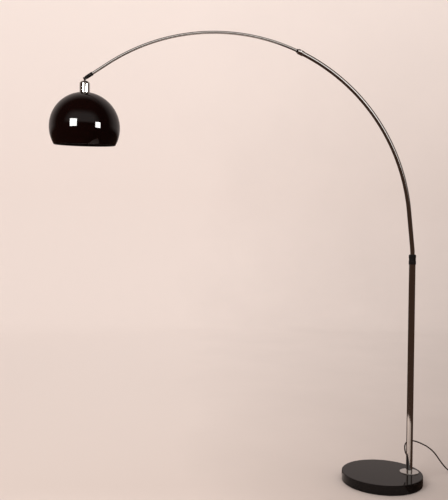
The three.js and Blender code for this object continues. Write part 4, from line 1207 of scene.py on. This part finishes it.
# The studio: a floor that runs into a round wall, soft light from all over, two square softboxes that only
# the dome and its cap mirror, a key light, and a pale card that only the arc's pieces mirror.
stageValues = {
    "paper": (0.61, 0.535, 0.497),
    # glow is the colour of the painted glow that the paper gives off, and falloff below sets the strength of its
    # painted shade
    "glow": (1.0, 0.915, 0.87),
    "mirrored": 1.1,  # radius of the floor that polished pieces mirror
    "rings": (2.6, 4.0),  # rows of the floor between that and the wall
    "flat": 5.2,
    "cove": 1.8,
    "height": 9.0,
    "falloff": 0.33,  # how much darker the far right of the floor is
    "darkSector": (-60, 150),  # degrees of floor, from +X, that polished pieces don't mirror
}


def stageFinish(values):
    # paper with painted light: across = (x - cameraX) / (y - cameraY) and rise = (z - cameraZ) / (y - cameraY)
    # give the place on the backdrop, a painted shade grows with across and falls with rise, and a painted glow
    # grows with rise
    material, tree, shader, place = newFinish("backdropPaper", Roughness=0.85, **{"Specular IOR Level": 0.2})
    split = addNode(tree, "ShaderNodeSeparateXYZ", {"Vector": place})

    def worked(operation, first, second):
        return addNode(tree, "ShaderNodeMath", {0: first, 1: second}, operation=operation).outputs[0]

    def offset(index):
        return worked("SUBTRACT", split.outputs[index], cameraValues["place"][index])

    depth = worked("MAXIMUM", offset(1), 0.5)
    across, rise = worked("DIVIDE", offset(0), depth), worked("DIVIDE", offset(2), depth)
    low = ranged(tree, rise, -0.34, 0.4, 1.0, 0.25)
    cloud = worked("MULTIPLY", noise(tree, place, 1.1, 4.0), 0.16)
    side = ranged(tree, worked("ADD", across, cloud), 0.06, 0.50, 0.0, 1.0)
    # dim is the painted shade: 1 where none is painted, lower towards the far right and the bottom
    dim = worked("SUBTRACT", 1.0, worked("MULTIPLY", worked("MULTIPLY", side, low), values["falloff"]))
    near, far = ranged(tree, rise, -0.36, -0.12, 0.0, 0.28), ranged(tree, rise, -0.12, 0.36, 0.0, 0.14)
    glow = worked("ADD", near, far)
    # the paper's colour darkened by the painted shade, and the painted glow given off as emission
    paper = blended(tree, dim, (0.0, 0.0, 0.0), values["paper"])
    feed(tree, shader, Base_Color=paper, Emission_Strength=worked("MULTIPLY", glow, dim))
    shader.inputs["Emission Color"].default_value = (*values["glow"], 1)
    bumped(tree, shader, noise(tree, place, 300.0, 2.0), 0.0001)
    return material


# A sheet whose columns don't close on each other.
def openSkin(name, points):
    rows, columns = points.shape[:2]
    row, column = np.meshgrid(np.arange(rows - 1), np.arange(columns - 1), indexing="ij")
    first = (row * columns + column).reshape(-1)
    mesh = bpy.data.meshes.new(name)
    faces = np.stack([first, first + columns, first + columns + 1, first + 1], -1)
    mesh.from_pydata(points.reshape(-1, 3), [], faces.tolist())
    return mesh


def makeStage(values):
    paper = stageFinish(values)
    radii = [0, values["mirrored"], *values["rings"], values["flat"]]
    flat = np.stack([radii, np.zeros(len(radii))], -1)
    turn = np.radians(np.linspace(-90, 0, 25))
    cove = np.stack([values["flat"] + values["cove"] * np.cos(turn), values["cove"] * (1 + np.sin(turn))], -1)
    wall = np.vstack([cove, [[values["flat"] + values["cove"], values["height"]]]])
    # part of the floor and the wall aren't mirrored, so that the polished pieces keep their dark edges
    start, end = values["darkSector"]
    sector = (end - start) // 2
    floor = np.roll(spun(flat, 180), -start // 2, axis=1)
    floor = np.concatenate([floor, floor[:, :1]], axis=1)
    for name, points, mirrored in (
        ("studio_floor", floor[:2, sector:], True), ("studio_floor_right", floor[:2, :sector + 1], False),
        ("studio_floor_outer", floor[1:], False), ("studio_wall", spun(wall, 180), False),
    ):
        mesh = openSkin(name, points) if name != "studio_wall" else skin(name, (points, False))
        made = bpy.data.objects.new(name, mesh)
        mesh.materials.append(paper)
        bpy.context.scene.collection.objects.link(made)
        made.visible_glossy = mirrored


lightValues = {
    "leftReflection": (-0.578, 0.2515, 0.774),  # across, up and towards the camera, as the dome mirrors it
    "leftSize": 1.0,
    "leftPower": 150,
    "rightReflection": (0.6587, 0.1667, 0.7336),
    "rightSize": 0.72,
    "rightPower": 85,
    "distance": 2.6,
    "keyPlace": (-2.4, -2.3, 2.7),
    "keySize": 2.0,
    "keyPower": 85,
    "cardPlace": (-0.4, -3.4, 2.35),  # the pale card that makes the light line along the arc
    "cardAim": (-0.4, 0, 1.9),
    "cardSize": (3.4, 1.2),
    "cardPower": 16,
    "ambient": 0.95,
    "dark": (0.050, 0.028, 0.019),  # what the polished pieces mirror: the sides of the studio,
    "ceiling": (0.62, 0.57, 0.54),  # the lit part above the camera,
    "backdrop": (0.50, 0.425, 0.395),  # and the backdrop
}


def addLight(name, place, aim, size, power, height=None):
    data = bpy.data.lights.new(name, "AREA")
    data.shape, data.size, data.size_y = "RECTANGLE", size, height or size
    data.energy, data.color = power, (1, 0.985, 0.96)
    light = bpy.data.objects.new(name, data)
    bpy.context.scene.collection.objects.link(light)
    toward = unit(np.asarray(aim) - place)
    side = unit(np.cross(toward, upright))
    turn = Matrix(np.stack([side, np.cross(side, toward), -toward], -1).tolist()).to_4x4()
    light.matrix_world = Matrix.Translation(place.tolist()) @ turn
    return light


def makeLights(values):
    ball = hangPlace[0] + hangAxis * hangValues["ballMiddle"] * mm
    toCamera = unit(np.array(cameraValues["place"]) - ball)
    right = unit(np.cross(upright, toCamera))
    above = np.cross(toCamera, right)
    # the softboxes are mirrored by the dome and its cap only, and the key light gives the shadows
    lit = bpy.data.collections.new("mirrors_softboxes")
    for piece in softboxPieces:
        lit.objects.link(piece)
    for side in ("left", "right"):
        across, up, towards = values[side + "Reflection"]
        place = ball + values["distance"] * (across * right + up * above + towards * toCamera)
        softbox = addLight(side + "_softbox", place, ball, values[side + "Size"], values[side + "Power"])
        softbox.visible_diffuse = False
        softbox.light_linking.receiver_collection = lit
    key = addLight("key", np.array(values["keyPlace"]), (0, 0, 0.6), values["keySize"], values["keyPower"])
    key.visible_glossy = False
    across, height = values["cardSize"]
    place, aim = np.array(values["cardPlace"]), values["cardAim"]
    card = addLight("arc_card", place, aim, across, values["cardPower"], height)
    card.visible_diffuse = False
    tubes = bpy.data.collections.new("mirrors_card")
    for piece in arcPieces:
        tubes.objects.link(piece)
    card.light_linking.receiver_collection = tubes


# The world seen by direction: the backdrop behind the lamp, a lit part above the camera, and dark elsewhere.
def makeWorld(values):
    world = bpy.data.worlds.new("studio")
    bpy.context.scene.world = world
    world.use_nodes = True
    tree = world.node_tree
    direction = addNode(tree, "ShaderNodeTexCoord").outputs["Generated"]
    split = addNode(tree, "ShaderNodeSeparateXYZ", {"Vector": direction})
    behind = ranged(tree, split.outputs[1], 0.05, 0.5, 0.0, 1.0)
    raised = ranged(tree, split.outputs[2], 0.10, 0.22, 0.0, 1.0)
    lowered = ranged(tree, split.outputs[2], 0.55, 0.8, 1.0, 0.0)
    front = ranged(tree, split.outputs[1], -0.45, -0.75, 0.0, 1.0)
    for share in (raised, lowered):
        front = addNode(tree, "ShaderNodeMath", {0: front, 1: share}, operation="MULTIPLY").outputs[0]
    level = ranged(tree, split.outputs[2], -0.05, 0.1, 0.0, 1.0)
    behind = addNode(tree, "ShaderNodeMath", {0: behind, 1: level}, operation="MULTIPLY").outputs[0]
    wall = blended(tree, behind, values["dark"], values["backdrop"])
    mirrored = blended(tree, front, wall, values["ceiling"])
    ambient = {"Color": (1.0, 0.98, 0.965, 1), "Strength": values["ambient"]}
    even = addNode(tree, "ShaderNodeBackground", ambient)
    seen = addNode(tree, "ShaderNodeBackground", {"Color": mirrored, "Strength": 1.0})
    path = addNode(tree, "ShaderNodeLightPath")
    choice = {0: path.outputs["Is Glossy Ray"], 1: even.outputs[0], 2: seen.outputs[0]}
    mixed = addNode(tree, "ShaderNodeMixShader", choice)
    output = next(node for node in tree.nodes if node.type == "OUTPUT_WORLD")
    tree.links.new(mixed.outputs[0], output.inputs["Surface"])


makeStage(stageValues)
makeLights(lightValues)
makeWorld(lightValues)
bpy.context.scene.view_settings.view_transform = "Standard"
print("studio done")
